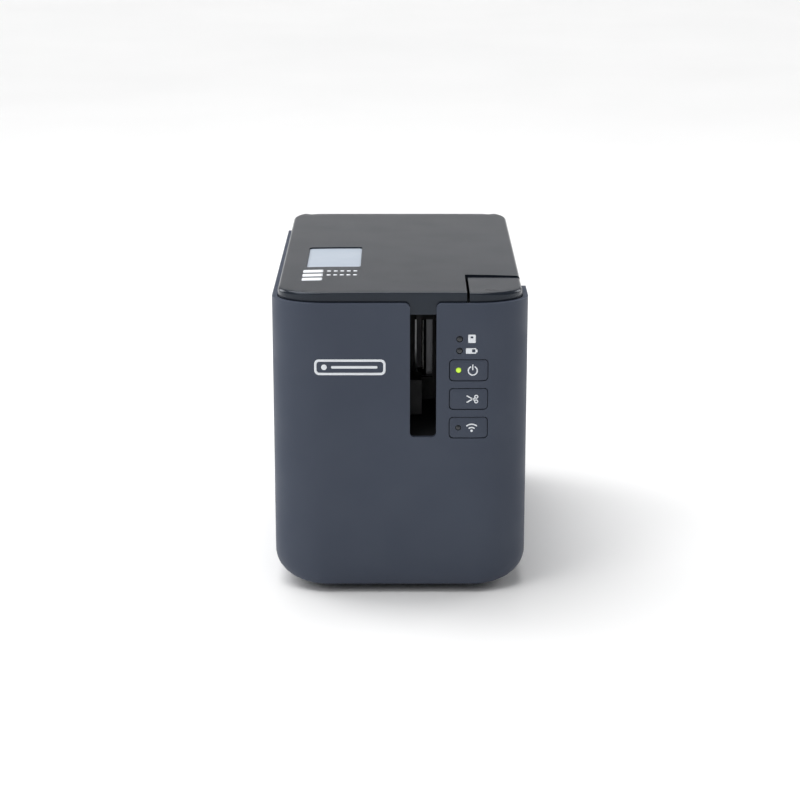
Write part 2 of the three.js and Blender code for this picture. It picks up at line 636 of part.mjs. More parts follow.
/** Lid shell with its window opening, button notch and hinge lugs. */
function lid() {
  const keep = block(-halfWidth, halfWidth, front, rear, hingeZ - HINGE_RADIUS, OVERALL_HEIGHT);
  const raised = join([
    block(-halfWidth, halfWidth, front, frontSeam, 0, skirtBottom),
    block(-halfWidth, 0, frontSeam - 1, rearSeam + GAP, 0, skirtBottom),
  ]);
  const notch = grow => block(
    notchX - NOTCH_GAP - grow, halfWidth, front, notchY + NOTCH_GAP + grow, 0, OVERALL_HEIGHT + 1,
  );
  const inside = lidForm(LID_WALL).add(lidSkirtHollow()).subtract(notch(LID_WALL));
  const opening = prismZ(windowShape(0), rim, OVERALL_HEIGHT + 1, 2);
  const overLatch = block(
    notchX - NOTCH_GAP - LID_WALL - 1, notchX, front + lidInset + LID_WALL, notchY,
    0, latchZ + LATCH.radius + 2,
  );
  const shell = cut(lidForm(0).intersect(keep), [inside, notch(0), raised, opening, overLatch]);
  const lugs = [-1, 1].map(side => hingeLug(side));
  const slots = [-1, 1].map(side => {
    const play = HINGE_TOWER.play;
    const [x0, x1] = sideSpan(side, HINGE_TOWER.inner - play, HINGE_TOWER.outer + play);
    return block(x0, x1, hingeY - 9, rear, 0, hingeZ + 3.2);
  });
  return cut(join([shell, ...lugs]), slots);
}

/** Space between the skirts below the barrel, which leaves the skirt open underneath. */
function lidSkirtHollow() {
  const shape = polygon([
    [front, hingeZ - 12], [hingeY - 1, hingeZ - 12], [hingeY - 1, hingeZ], [front, hingeZ],
  ]);
  return prismX(shape, -halfWidth, halfWidth)
    .intersect(prismZ(planShape(lidInset + LID_WALL), hingeZ - 12, hingeZ, 4));
}

/** Lug on the lid that turns on a hinge pin. */
function hingeLug(side) {
  const outer = HINGE_TOWER.inner - HINGE_TOWER.play;
  const [x0, x1] = sideSpan(side, outer - HINGE_TOWER.lug, outer);
  const web = block(x0, x1, hingeY - 4, hingeY + 4, hingeZ, lidUnderside + 1);
  return join([web, rodX(hingeY, hingeZ, HINGE_EYE_RADIUS, x0, x1, 20)])
    .subtract(rodX(hingeY, hingeZ, HINGE_PIN_RADIUS + GAP, x0 - 1, x1 + 1, 12));
}

const windowShape = grow => roundedRect(
  WINDOW.left - grow, WINDOW.right + grow, front + WINDOW.front - grow, front + WINDOW.rear + grow,
  WINDOW.corner + grow,
);

/** Clear pane held under the window opening. */
const lidWindow = () => prismZ(windowShape(PANE.lap), paneBottom, paneTop, 2);

/** Inner panel of the lid, with a hole under the pane and two pads over the cassette. */
function lidLiner() {
  const inner = halfWidth - lidInset - LID_WALL - GAP;
  const plates = join([
    block(-inner, notchX - 4, front + 26, frontSeam + 4, linerBottom, linerTop),
    block(-inner, inner, frontSeam + 3.9, rearSeam - 4, linerBottom, linerTop),
  ]);
  const pads = [WINDOW.left + 4, 0].map(
    x => block(x, x + 6, cassetteRear - 22, cassetteRear - 10, cassetteTop + GAP, linerTop),
  );
  const bosses = [[-30, rearSeam - 14], [30, rearSeam - 14], [-40, front + 36], [10, front + 36]].map(
    ([x, y]) => post(x, y, 3, linerTop - 0.5, lidUnderside - GAP, 10),
  );
  const opening = prismZ(windowShape(-1.5), linerBottom - 1, linerTop + 1, 2);
  return cut(join([plates, ...pads, ...bosses]), [opening]);
}

/** Fixed tab that hangs from the lid beside the latch. */
function lidCatch() {
  const plate = block(...LATCH.hook, latchY - 6, latchY - 4, hookTop - 3.4, lidUnderside - GAP);
  const ledge = block(...LATCH.hook, latchY - 4.1, latchY - 3, hookTop - 3.4, hookTop - 1.8);
  return join([plate, ledge]);
}

/** Rocking lever that the release button tips to free the lid. */
function latchLever() {
  const bar = rodX(latchY, latchZ, LATCH.radius, LATCH.hook[0], LATCH_EARS.right[1] - GAP, 12);
  const hook = join([
    block(...LATCH.hook, latchY - 1.1, latchY + 0.9, latchZ, hookTop),
    block(...LATCH.hook, latchY - 2.6, latchY, hookTop - 1.4, hookTop),
  ]);
  const arm = block(...LATCH.arm, latchY, latchY + 9.5, latchZ - 0.5, latchZ + 1.5);
  return join([bar, hook, arm]);
}

/** Release button: a cap that follows the lid's corner, two guide posts and a pusher. */
function releaseButton() {
  const region = grow => block(
    notchX + NOTCH_GAP + grow, halfWidth, front, notchY - NOTCH_GAP - grow, 0, OVERALL_HEIGHT + 1,
  );
  const skirt = rim - RELEASE_TRAVEL - GAP;
  const cap = cut(lidForm(0).intersect(region(0)), [
    block(-halfWidth, halfWidth, front, rear, 0, skirt),
    block(0, notchX + NOTCH_GAP + LID_WALL + 0.1, front + lidInset + LID_WALL, rear, 0, rim),
    block(0, halfWidth, notchY - NOTCH_GAP - LID_WALL - 0.1, rear, 0, rim),
  ]);
  const inside = lidForm(LID_WALL).add(lidSkirtHollow()).intersect(region(LID_WALL));
  const posts = guidePosts.map(
    ([x, y]) => post(x, y, GUIDE_POST_RADIUS, deckBottom - 1.5, lidUnderside + 0.5, 12),
  );
  const pusher = block(
    LATCH.arm[0] + 0.5, LATCH.arm[1] - 0.5, latchY + 6.5, latchY + 9,
    latchZ + 1.5 + GAP, lidUnderside + 0.5,
  );
  return join([cap.subtract(inside), ...posts, pusher]);
}

/** Helical spring around the front guide post, between the deck and the cap. */
function releaseSpring() {
  const [x, y] = guidePosts[0];
  const { radius, wire, turns } = SPRING;
  const bottom = deckTop + GAP + wire;
  const top = lidUnderside - GAP - wire;
  const points = [];
  for (let step = 0; step <= turns * 12; step++) {
    const angle = 2 * Math.PI * step / 12;
    const height = bottom + (top - bottom) * step / (turns * 12);
    points.push(new THREE.Vector3(x + radius * Math.cos(angle), y + radius * Math.sin(angle), height));
  }
  const section = new THREE.Shape();
  section.absarc(0, 0, wire, 0, 2 * Math.PI);
  const geometry = new THREE.ExtrudeGeometry(section, {
    steps: turns * 12,
    curveSegments: 3,
    bevelEnabled: false,
    extrudePath: new THREE.CatmullRomCurve3(points),
  });
  return solidOf(geometry);
}

// ---- Front buttons, lamps and boards -------------------------------------------------------------

/** Push button: cap, retaining flange and a stem that ends just short of its switch. */
function capButton(drop, lamp) {
  const z = capZ(drop);
  const behind = front + WALL + CAP_FLANGE.gap;
  const reachX = CAP.width / 2 + CAP.gap + CAP_FLANGE.reach;
  const reachZ = CAP.height / 2 + CAP_FLANGE.reach;
  const parts = [
    prismY(capRect(drop, 0), front, behind + 0.5, 2).intersect(prismZ(planShape(0), z - 10, z + 10, 5)),
    block(
      CAP.centre - reachX, CAP.centre + reachX, behind, behind + CAP_FLANGE.thickness,
      z - reachZ, z + reachZ,
    ),
    rodY(CAP.centre, z, 1.6, behind + 1, switchFront - CAP_TRAVEL - GAP, 10),
  ];
  const hole = rodY(LAMP.capX, z, LAMP.capRadius + GAP, front - 1, behind + 2, 12);
  return lamp ? cut(join(parts), [hole]) : join(parts);
}

const capLens = drop => rodY(
  LAMP.capX, capZ(drop), LAMP.capRadius, front, front + WALL + CAP_FLANGE.gap + 1, 12,
);
const caseLens = drop => rodY(LAMP.x, rim - drop, LAMP.radius, front, boardFront - GAP, 12);

/** Upright board behind the buttons, with one switch body per button. */
function controlBoard() {
  const board = block(chuteRight + 0.8, 44, boardFront, boardFront + BOARD, rim - 70.5, deckBottom - 0.6);
  const switches = Object.values(CAP_DROPS).map(drop => join([
    block(CAP.centre - 3, CAP.centre + 3, boardFront - 1.8, boardFront + 0.1, capZ(drop) - 3, capZ(drop) + 3),
    rodY(CAP.centre, capZ(drop), 1.7, switchFront, boardFront - 1.7, 10),
  ]));
  return join([board, ...switches]);
}

/** Level board over the base plate, with its larger components. */
function mainBoard() {
  const top = boardBottom + BOARD;
  const board = block(-31, 31, rearSeam - 25, rear - WALL - 1, boardBottom, top);
  const chips = [[-22, -12, 6, 3], [0, -16, 8, 2], [18, -14, 5, 7], [26, -4, 3.5, 9]];
  const parts = chips.map(([x, offset, half, height]) => {
    const y = rearSeam + offset;
    return block(x - half, x + half, y - half, y + half, top - 0.1, top + height);
  });
  return join([board, ...parts]);
}

/** Data socket whose mouth is flush with the rear panel. */
function usbSocket() {
  const { x, width, height, length, wall } = USB;
  const shell = block(x - width / 2, x + width / 2, rear - length, rear, socketBottom, socketBottom + height);
  const mouth = block(
    x - width / 2 + wall, x + width / 2 - wall, rear - length + 3, rear + 1,
    socketBottom + wall, socketBottom + height - wall,
  );
  return shell.subtract(mouth);
}

/** Round power inlet in a square body, flush with the rear panel. */
function dcInlet() {
  const { x, width, height, length, bore } = INLET;
  const body = block(x - width / 2, x + width / 2, rear - length, rear, socketBottom, socketBottom + height);
  return body.subtract(rodY(x, socketBottom + height / 2, bore, rear - length + 3, rear + 1));
}

const batteryPack = () => prismZ(
  roundedRect(-BATTERY.width / 2, BATTERY.width / 2, batteryFront, batteryRear, 4),
  floorTop + GAP, floorTop + GAP + BATTERY.height, 2,
);

// ---- Feed drive ----------------------------------------------------------------------------------

const driveUpperPhase = 0;
const driveLowerPhase = 0;
const platenPhase = meshedPhase(TEETH.driveUpper, driveUpperPhase, TEETH.platen, 0);
const ribbonPhase = meshedPhase(TEETH.driveUpper, driveUpperPhase, TEETH.ribbon, ribbonAngle);
const motorPhase = meshedPhase(TEETH.driveLower, driveLowerPhase, TEETH.motor, Math.PI / 2);

/** Stepper motor that hangs under the chassis, with its bearing boss in the chassis hole. */
function feedMotor() {
  const top = chassisBottom - GAP;
  const can = post(driveX, motorY, FEED_MOTOR.radius, top - FEED_MOTOR.length, top, 24);
  const ears = block(driveX - 18, driveX + 18, motorY - 4, motorY + 4, top - 1, top);
  const boss = post(driveX, motorY, 4, top - 0.5, chassisTop - GAP);
  return join([can, ears, boss]).subtract(post(driveX, motorY, 1.3, top - 8, chassisTop + 1, 10));
}

/** Brass pinion on the motor's shaft. */
function feedPinion() {
  const shaft = post(driveX, motorY, 1, chassisBottom - 6, lowerGearTop + 0.6, 10);
  return gearZ(driveX, motorY, TEETH.motor, motorPhase, 0.8, lowerGearBottom, lowerGearTop).add(shaft);
}

/** Compound gear: the wide lower one meets the motor, the upper one turns roller and ribbon. */
function driveGear() {
  const bore = GEAR_PIN_RADIUS + GAP;
  const lower = gearZ(driveX, printY, TEETH.driveLower, driveLowerPhase, bore, lowerGearBottom, lowerGearTop);
  const upper = gearZ(driveX, printY, TEETH.driveUpper, driveUpperPhase, bore, upperGearBottom, upperGearTop);
  const hub = post(driveX, printY, 5, lowerGearTop - 0.2, upperGearBottom + 0.2)
    .subtract(post(driveX, printY, bore, lowerGearTop - 1, upperGearBottom + 1, 16));
  return join([lower, upper, hub]);
}

const driveGearPin = () => post(driveX, printY, GEAR_PIN_RADIUS, chassisBottom, bayFloorBottom - GAP, 12);

/** Gear and finned spindle that winds the used ribbon. */
function ribbonSpindle() {
  const gear = gearZ(ribbonX, ribbonY, TEETH.ribbon, ribbonPhase, 1, upperGearBottom, upperGearTop);
  const hub = post(ribbonX, ribbonY, 4, chassisTop + GAP, upperGearBottom + 1);
  const shaft = post(ribbonX, ribbonY, 2.7, upperGearBottom + 0.5, tapeTop - 4, 12);
  const fins = [0, 1].map(turn => {
    const [halfX, halfY] = turn ? [0.6, 3.6] : [3.6, 0.6];
    return block(
      ribbonX - halfX, ribbonX + halfX, ribbonY - halfY, ribbonY + halfY, upperGearTop - 1, tapeTop - 5,
    );
  });
  const bore = post(ribbonX, ribbonY, GEAR_PIN_RADIUS + GAP, chassisTop, bayFloorTop + 8, 12);
  return join([gear, hub, shaft, ...fins]).subtract(bore);
}

const ribbonSpindlePin = () => post(
  ribbonX, ribbonY, GEAR_PIN_RADIUS, chassisBottom, bayFloorTop + 8 - GAP, 12,
);

/** Swing arm that presses the roller to the head: two plates on one web. */
function platenArm() {
  const plate = polygon([
    [rollerX - 3.3, printY - 4.8], [armBack, printY - 4.8], [armBack, armY + 4.4],
    [armX - 3.6, armY + 4.4], [armX - 4.4, armY], [rollerX - 3.3, printY + 3],
  ]);
  const web = block(armBack - 2.1, armBack, printY - 4.8, armY - 4, armBottom + 1, armTop - 1);
  const bores = [
    post(armX, armY, 2.8, armBottom - 1, armTop + 1),
    post(rollerX, printY, ROLLER_SHAFT_RADIUS + GAP, armBottom - 1, armTop + 1),
  ];
  const plates = [prismZ(plate, armBottom, armBottom + 2), prismZ(plate, armTop - 2, armTop)];
  return cut(join([...plates, web]), bores);
}

const armPivotPin = () => post(armX, armY, 2.5, chassisTop + GAP, armTop + 1);
const platenShaft = () => post(rollerX, printY, ROLLER_SHAFT_RADIUS, upperGearBottom, armTop + 0.8, 12);

/** Rubber sleeve on the roller shaft. */
function platenRoller() {
  return post(rollerX, printY, ROLLER_RADIUS, rollerBottom, rollerTop, 24)
    .subtract(post(rollerX, printY, ROLLER_SHAFT_RADIUS + GAP, rollerBottom - 1, rollerTop + 1, 12));
}

const platenGear = () => gearZ(
  rollerX, printY, TEETH.platen, platenPhase, ROLLER_SHAFT_RADIUS + GAP, upperGearBottom, upperGearTop,
);

/** Angled heat sink that stands on the bay floor and backs the print head. */
function headBracket() {
  const wallX = headFace - 3.8;
  const flange = block(
    HEAD_NOTCH.left + 0.7, wallX + 1.8, printY - 9, printY + 9, bayFloorTop, bayFloorTop + 1.5,
  );
  const back = block(wallX, wallX + 1.8, printY - 9, printY + 9, bayFloorTop, tapeTop + 2);
  const fins = [-6, 0, 6].map(y => block(
    wallX - 3.5, wallX + 0.5, printY + y - 0.6, printY + y + 0.6, bayFloorTop + 1, tapeTop,
  ));
  return join([flange, back, ...fins]);
}

/** Ceramic print head with its raised heating line. */
function thermalHead() {
  const x = headFace - 1.7;
  const plate = block(x, x + 1.2, printY - 7, printY + 7, tapeBottom - 2, tapeTop + 1);
  const line = polygon([
    [x + 1, printY - 2.4], [x + 1.7, printY - 0.8], [x + 1.7, printY + 0.8], [x + 1, printY + 2.4],
  ]);
  return plate.add(prismZ(line, tapeBottom - 1, tapeTop + 0.5));
}

// ---- Cutter and exit -----------------------------------------------------------------------------

/** Upright steel plate with the tape window, which carries the blades and the cam. */
function cutterFrame() {
  const outline = polygon([
    [camX - 6, camZ - 4], [bladePivotX + 13, camZ - 4], [bladePivotX + 13, tapeTop + 5],
    [TAPE.x - 9, tapeTop + 5], [TAPE.x - 9, camZ + 6], [camX - 6, camZ + 6],
  ]);
  const plate = prismY(outline, frameFront, frameBack);
  const standX = [bladePivotX + 5, bladePivotX + 13];
  const standBottom = chassisTop + GAP;
  const stand = join([
    block(...standX, frameFront, frameBack, standBottom, camZ),
    block(...standX, frameFront, frameBack + 6, standBottom, standBottom + 1.4),
  ]);
  const holes = [
    block(TAPE.x - 4, TAPE.x + 4.2, frameFront - 1, frameBack + 1, tapeBottom - 2, tapeTop + 2),
    rodY(bladePivotX, bladePivotZ, GEAR_PIN_RADIUS + GAP, frameFront - 1, frameBack + 1, 12),
    rodY(camX, camZ, GEAR_PIN_RADIUS + GAP, frameFront - 1, frameBack + 1, 12),
  ];
  return cut(join([plate, stand]), holes);
}

/** Still blade to the right of the tape, with a ground edge. */
function fixedBlade() {
  const outline = polygon([
    [fixedBladeLeft, tapeBottom - 3.5], [fixedBladeLeft + 7, tapeBottom - 3.5],
    [fixedBladeLeft + 7, tapeTop + 3], [fixedBladeLeft, tapeTop + 3],
  ]);
  const grind = polygon([
    [fixedBladeLeft - 1, fixedBladeFront - 0.6], [fixedBladeLeft + 1.2, fixedBladeFront - 0.2],
    [fixedBladeLeft - 1, fixedBladeFront + 0.8],
  ]);
  return prismY(outline, fixedBladeFront, fixedBladeFront + 1)
    .subtract(prismZ(grind, tapeBottom - 5, tapeTop + 5));
}

/** Outline of the swinging blade about its pivot, in its closed place. */
function movingBladeShape() {
  const reach = tapeTop + 2 - bladePivotZ;
  return polygon([
    [-0.5, 0], [-0.5, reach], [-2.6, reach], [-6.5, reach - 6], [-6.5, 6], [-3.9, 3],
  ]);
}

/** Forked tail of the blade, level and pointing left from the pivot. */
function bladeTail() {
  const end = BLADE_LEVER + 2.8;
  const jaw = CRANK_PIN_RADIUS + 0.5;
  return polygon([
    [0, -3.2], [0, 3.2], [-end, 3.2], [-end, jaw], [-BLADE_LEVER + 2.2, jaw],
    [-BLADE_LEVER + 2.2, -jaw], [-end, -jaw], [-end, -3.2],
  ]);
}

/** Swinging blade in its open place. */
function movingBlade() {
  const y0 = movingBladeFront;
  const turned = (shape, angle) => {
    const geometry = new THREE.ExtrudeGeometry(shape, { depth: 1, bevelEnabled: false, curveSegments: 4 });
    geometry.rotateX(Math.PI / 2);
    geometry.rotateY(-angle);
    geometry.translate(bladePivotX, y0 + 1, bladePivotZ);
    return solidOf(geometry);
  };
  const body = join([
    turned(movingBladeShape(), 2 * restLever),
    turned(bladeTail(), restLever),
    rodY(bladePivotX, bladePivotZ, 4, y0, y0 + 1),
  ]);
  return body.subtract(rodY(bladePivotX, bladePivotZ, GEAR_PIN_RADIUS + GAP, y0 - 1, y0 + 2, 12));
}

const bladePivotPin = () => rodY(bladePivotX, bladePivotZ, GEAR_PIN_RADIUS, frameFront, camGearBack - 1, 12);
const camGearPin = () => rodY(camX, camZ, GEAR_PIN_RADIUS, frameFront, camGearBack + 0.2, 12);

const camPhase = 0;
const cutterPhase = meshedPhase(TEETH.cam, camPhase, TEETH.cutter, -Math.PI / 2);

/** Cam gear whose crank pin works in the blade's fork. */
function camGear() {
  const gear = gearY(camX, camZ, TEETH.cam, camPhase, GEAR_PIN_RADIUS + GAP, camGearFront, camGearBack);
  return gear.add(rodY(crankX, crankZ, CRANK_PIN_RADIUS, movingBladeFront - 0.2, camGearFront + 0.5, 12));
}

/** Small motor behind the chassis's motor plate, with its nose in the plate. */
function cutterMotor() {
  const plateBack = bayFront - BAY_WALL + 2;
  const canFront = plateBack + GAP;
  const can = rodY(camX, cutterMotorZ, CUTTER_MOTOR.radius, canFront, canFront + CUTTER_MOTOR.length, 20);
  const nose = rodY(camX, cutterMotorZ, CUTTER_MOTOR.nose, plateBack - 1.7, plateBack + 1);
  return join([can, nose]).subtract(rodY(camX, cutterMotorZ, 1.3, plateBack - 3, plateBack + 8, 10));
}

/** Brass pinion on the cutter motor's shaft. */
function cutterPinion() {
  const shaft = rodY(camX, cutterMotorZ, 1, camGearFront, bayFront + 6, 10);
  return gearY(camX, cutterMotorZ, TEETH.cutter, cutterPhase, 0.8, camGearFront, camGearBack).add(shaft);
}

/** Black chute from the cutter to the slot, with a sloping floor, a rib and a step. */
function exitGuide() {
  const y0 = front + WALL + GAP;
  const y1 = frameFront - GAP;
  const top = rim - 6.4;
  const outer = block(chuteLeft, chuteRight, y0, y1, slotBottom - 3, top);
  const channel = polygon([
    [y0 - 1, slotBottom - 0.3], [y1 - 2, slotBottom + 9], [y1 - 2, top + 1], [y0 - 1, top + 1],
  ]);
  const window = block(TAPE.x - 4, TAPE.x + 4.2, y1 - 3, y1 + 1, tapeBottom - 2, tapeTop + 2);
  const rib = block(slotLeft + 3.3, TAPE.x - 1, y1 - 14, y1 - 1.9, tapeBottom + 6, top);
  const step = block(slotLeft - 0.1, TAPE.x - 0.9, y1 - 18, y1 - 1.9, slotBottom + 6, tapeBottom + 0.8);
  return join([cut(outer, [prismX(channel, slotLeft, slotRight), window]), rib, step]);
}

// ---- Cassette ------------------------------------------------------------------------------------

/** Cassette case with the head notch, the tape guide, a spindle hole and the tape's way out. */
function cassetteCase() {
  const { left, right, wall } = CASSETTE;
  const notchRear = cassetteFront + HEAD_NOTCH.length;
  const outline = inset => polygon([
    [left + inset, cassetteFront + inset], [HEAD_NOTCH.left - inset, cassetteFront + inset],
    [HEAD_NOTCH.left - inset, notchRear + inset], [right - inset, notchRear + inset],
    [right - inset, cassetteRear - inset], [left + inset, cassetteRear - inset],
  ]);
  const guide = block(right - 1, TAPE.x + 2.5, notchRear + 2, notchRear + 15, cassetteBottom, cassetteTop);
  const outer = prismZ(outline(0), cassetteBottom, cassetteTop).add(guide);
  const hub = post(reelX, reelY, REEL_BORE - GAP, cassetteBottom + wall - 0.5, tapeTop - 3);
  const cuts = [
    prismZ(outline(wall), cassetteBottom + wall, cassetteTop - wall),
    post(ribbonX, ribbonY, 5, cassetteBottom - 1, cassetteBottom + wall + 1),
    block(
      tapeLeft - 0.35, tapeRight + 0.35, notchRear + 1, notchRear + 16,
      tapeBottom - 0.6, tapeTop + 0.6,
    ),
  ];
  return cut(outer, cuts).add(hub);
}

/** Wound label tape on its core. */
function tapeReel() {
  return post(reelX, reelY, REEL_RADIUS, tapeBottom - 0.5, tapeTop + 0.5, 28)
    .subtract(post(reelX, reelY, REEL_BORE, tapeBottom - 2, tapeTop + 2, 16));
}

/** Used ribbon wound round the spindle. */
function ribbonSpool() {
  return post(ribbonX, ribbonY, 8.5, tapeBottom - 0.5, tapeTop + 0.5, 20)
    .subtract(post(ribbonX, ribbonY, 3.95, tapeBottom - 2, tapeTop + 2, 12));
}

/** Label tape from the cassette's guide to just behind the blades. */
const labelTape = () => block(
  tapeLeft, tapeRight, movingBladeFront + 1.5, cassetteFront + HEAD_NOTCH.length + 14, tapeBottom, tapeTop,
);

// ---- Assembly ------------------------------------------------------------------------------------

const shell = caseShell();
const labelMaker = new THREE.Group();
labelMaker.name = 'label_maker';

labelMaker.add(
  piece('front_cover', frontCover(shell), 'casePlastic'),
  piece('left_side_cover', sideCover(shell, -1), 'casePlastic'),
  piece('right_side_cover', sideCover(shell, 1), 'casePlastic'),
  piece('rear_panel', rearPanel(shell), 'casePlastic'),
  piece('base_plate', basePlate(shell), 'casePlastic'),
  piece('battery_cover', batteryCover(), 'blackPlastic'),
  ...feet.map((place, index) => piece(`foot_${index + 1}`, foot(place), 'rubber')),
  piece('chassis', chassis(), 'blackPlastic'),
  piece('bay_frame', bayFrame(), 'blackPlastic'),
);

labelMaker.add(
  piece('lid', lid(), 'lidPlastic'),
  piece('lid_window', lidWindow(), 'windowPlastic'),
  piece('lid_liner', lidLiner(), 'blackPlastic'),
  piece('lid_catch', lidCatch(), 'blackPlastic'),
  piece('hinge_pin_left', hingePin(-1), 'steel'),
  piece('hinge_pin_right', hingePin(1), 'steel'),
  piece('release_button', releaseButton(), 'lidPlastic'),
  piece('release_spring', releaseSpring(), 'steel'),
  piece('latch_lever', latchLever(), 'blackPlastic'),
);

labelMaker.add(
  piece('power_button', capButton(CAP_DROPS.power, true), 'lidPlastic'),
  piece('cutter_button', capButton(CAP_DROPS.cutter, false), 'lidPlastic'),
  piece('wireless_button', capButton(CAP_DROPS.wireless, true), 'lidPlastic'),
  piece('power_lens', capLens(CAP_DROPS.power), 'litLamp'),
  piece('wireless_lens', capLens(CAP_DROPS.wireless), 'clearLamp'),
  piece('tape_lens', caseLens(LAMP.tapeDrop), 'clearLamp'),
  piece('battery_lens', caseLens(LAMP.batteryDrop), 'clearLamp'),
  piece('control_board', controlBoard(), 'circuitBoard'),
  piece('main_board', mainBoard(), 'circuitBoard'),
  piece('usb_socket', usbSocket(), 'steel'),
  piece('dc_inlet', dcInlet(), 'blackPlastic'),
  piece('battery_pack', batteryPack(), 'batteryWrap'),
);

labelMaker.add(
  piece('feed_motor', feedMotor(), 'steel'),
  piece('feed_pinion', feedPinion(), 'brass'),
  piece('drive_gear', driveGear(), 'gearPlastic'),
  piece('drive_gear_pin', driveGearPin(), 'steel'),
  piece('ribbon_spindle', ribbonSpindle(), 'gearPlastic'),
  piece('ribbon_spindle_pin', ribbonSpindlePin(), 'steel'),
  piece('platen_arm', platenArm(), 'blackPlastic'),
  piece('arm_pivot_pin', armPivotPin(), 'steel'),
  piece('platen_shaft', platenShaft(), 'steel'),
  piece('platen_roller', platenRoller(), 'rubber'),
  piece('platen_gear', platenGear(), 'gearPlastic'),
  piece('head_bracket', headBracket(), 'aluminium'),
  piece('thermal_head', thermalHead(), 'ceramic'),
);

labelMaker.add(
  piece('cutter_frame', cutterFrame(), 'steel'),
  piece('fixed_blade', fixedBlade(), 'steel'),
  piece('moving_blade', movingBlade(), 'steel'),
  piece('blade_pivot_pin', bladePivotPin(), 'steel'),
  piece('cam_gear', camGear(), 'gearPlastic'),
  piece('cam_gear_pin', camGearPin(), 'steel'),
  piece('cutter_motor', cutterMotor(), 'steel'),
  piece('cutter_pinion', cutterPinion(), 'brass'),
  piece('exit_guide', exitGuide(), 'blackPlastic'),
  piece('cassette_case', cassetteCase(), 'cassettePlastic'),
  piece('tape_reel', tapeReel(), 'tapePaper'),
  piece('ribbon_spool', ribbonSpool(), 'ribbonFilm'),
  piece('label_tape', labelTape(), 'tapePaper'),
);

export default labelMaker;
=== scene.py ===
"""Looks of a desktop label maker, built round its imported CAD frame.

The covers, the lid and its window, the release button and its spring, the push buttons, the lamps,
the printed signs and marks, and the feet are new surfaces. The mechanism, the boards and the cassette
keep their CAD meshes and get finishes.
Sizes in the classes are millimetres in the CAD frame: the front faces -Y, +X is right, +Z is up.
"""

import json
import logging
import math
from dataclasses import dataclass, field, replace
from enum import Enum
from typing import Sequence

import bpy
import numpy as np
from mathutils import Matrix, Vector
from mathutils.geometry import delaunay_2d_cdt


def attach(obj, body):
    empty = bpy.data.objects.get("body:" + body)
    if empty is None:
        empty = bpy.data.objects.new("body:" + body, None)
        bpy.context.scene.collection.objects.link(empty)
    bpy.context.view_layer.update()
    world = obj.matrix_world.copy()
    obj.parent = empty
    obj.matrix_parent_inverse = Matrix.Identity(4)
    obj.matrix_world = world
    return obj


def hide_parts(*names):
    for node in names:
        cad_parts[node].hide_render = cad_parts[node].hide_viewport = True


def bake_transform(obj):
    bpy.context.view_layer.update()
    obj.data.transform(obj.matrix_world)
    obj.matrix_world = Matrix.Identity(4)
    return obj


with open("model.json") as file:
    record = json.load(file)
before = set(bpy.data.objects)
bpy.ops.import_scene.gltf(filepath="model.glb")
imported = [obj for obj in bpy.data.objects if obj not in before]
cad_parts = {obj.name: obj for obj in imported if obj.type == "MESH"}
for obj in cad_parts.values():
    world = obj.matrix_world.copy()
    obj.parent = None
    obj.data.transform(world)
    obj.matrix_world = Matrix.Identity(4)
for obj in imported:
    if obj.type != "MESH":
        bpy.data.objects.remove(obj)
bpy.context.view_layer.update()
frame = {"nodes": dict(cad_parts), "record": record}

MM = 0.001
TINY = 1e-6
log = logging.getLogger("label_maker")

Array = np.ndarray


# ---- Finishes ------------------------------------------------------------------------------------


class Slot(Enum):
    """Material slots of the record."""

    CASE = "case_plastic"
    LID = "lid_plastic"
    WINDOW = "window_plastic"
    BLACK = "black_plastic"
    GEAR = "gear_plastic"
    CASSETTE = "cassette_plastic"
    PAPER = "tape_paper"
    RIBBON = "ribbon_film"
    RUBBER = "rubber"
    STEEL = "steel"
    BRASS = "brass"
    ALUMINIUM = "aluminium"
    CERAMIC = "ceramic"
    BOARD = "circuit_board"
    LIT_LAMP = "lit_lamp"
    CLEAR_LAMP = "clear_lamp"
    BATTERY = "battery_wrap"


@dataclass(frozen=True)
class Finish:
    """One procedural finish: colours, gloss, grain and worn edges.

    The colour drifts between two tones with a broad noise, the roughness drifts with a second one, a
    fine noise raises the bump, and edges are lighter where a bevelled normal leaves the true one.
    """

    tone: tuple[float, float, float]
    second_tone: tuple[float, float, float]
    roughness: tuple[float, float]
    grain_size: float = 0.35
    grain_depth: float = 0.02
    patch_size: float = 30.0
    edge_tone: tuple[float, float, float] | None = None
    metallic: float = 0.0
    coat: float = 0.0
    sheen: float = 0.0
    glow: float = 0.0
    stretch: tuple[float, float, float] = (1.0, 1.0, 1.0)
    specular: float = 0.5
    tint: tuple[float, float, float] = (1.0, 1.0, 1.0)


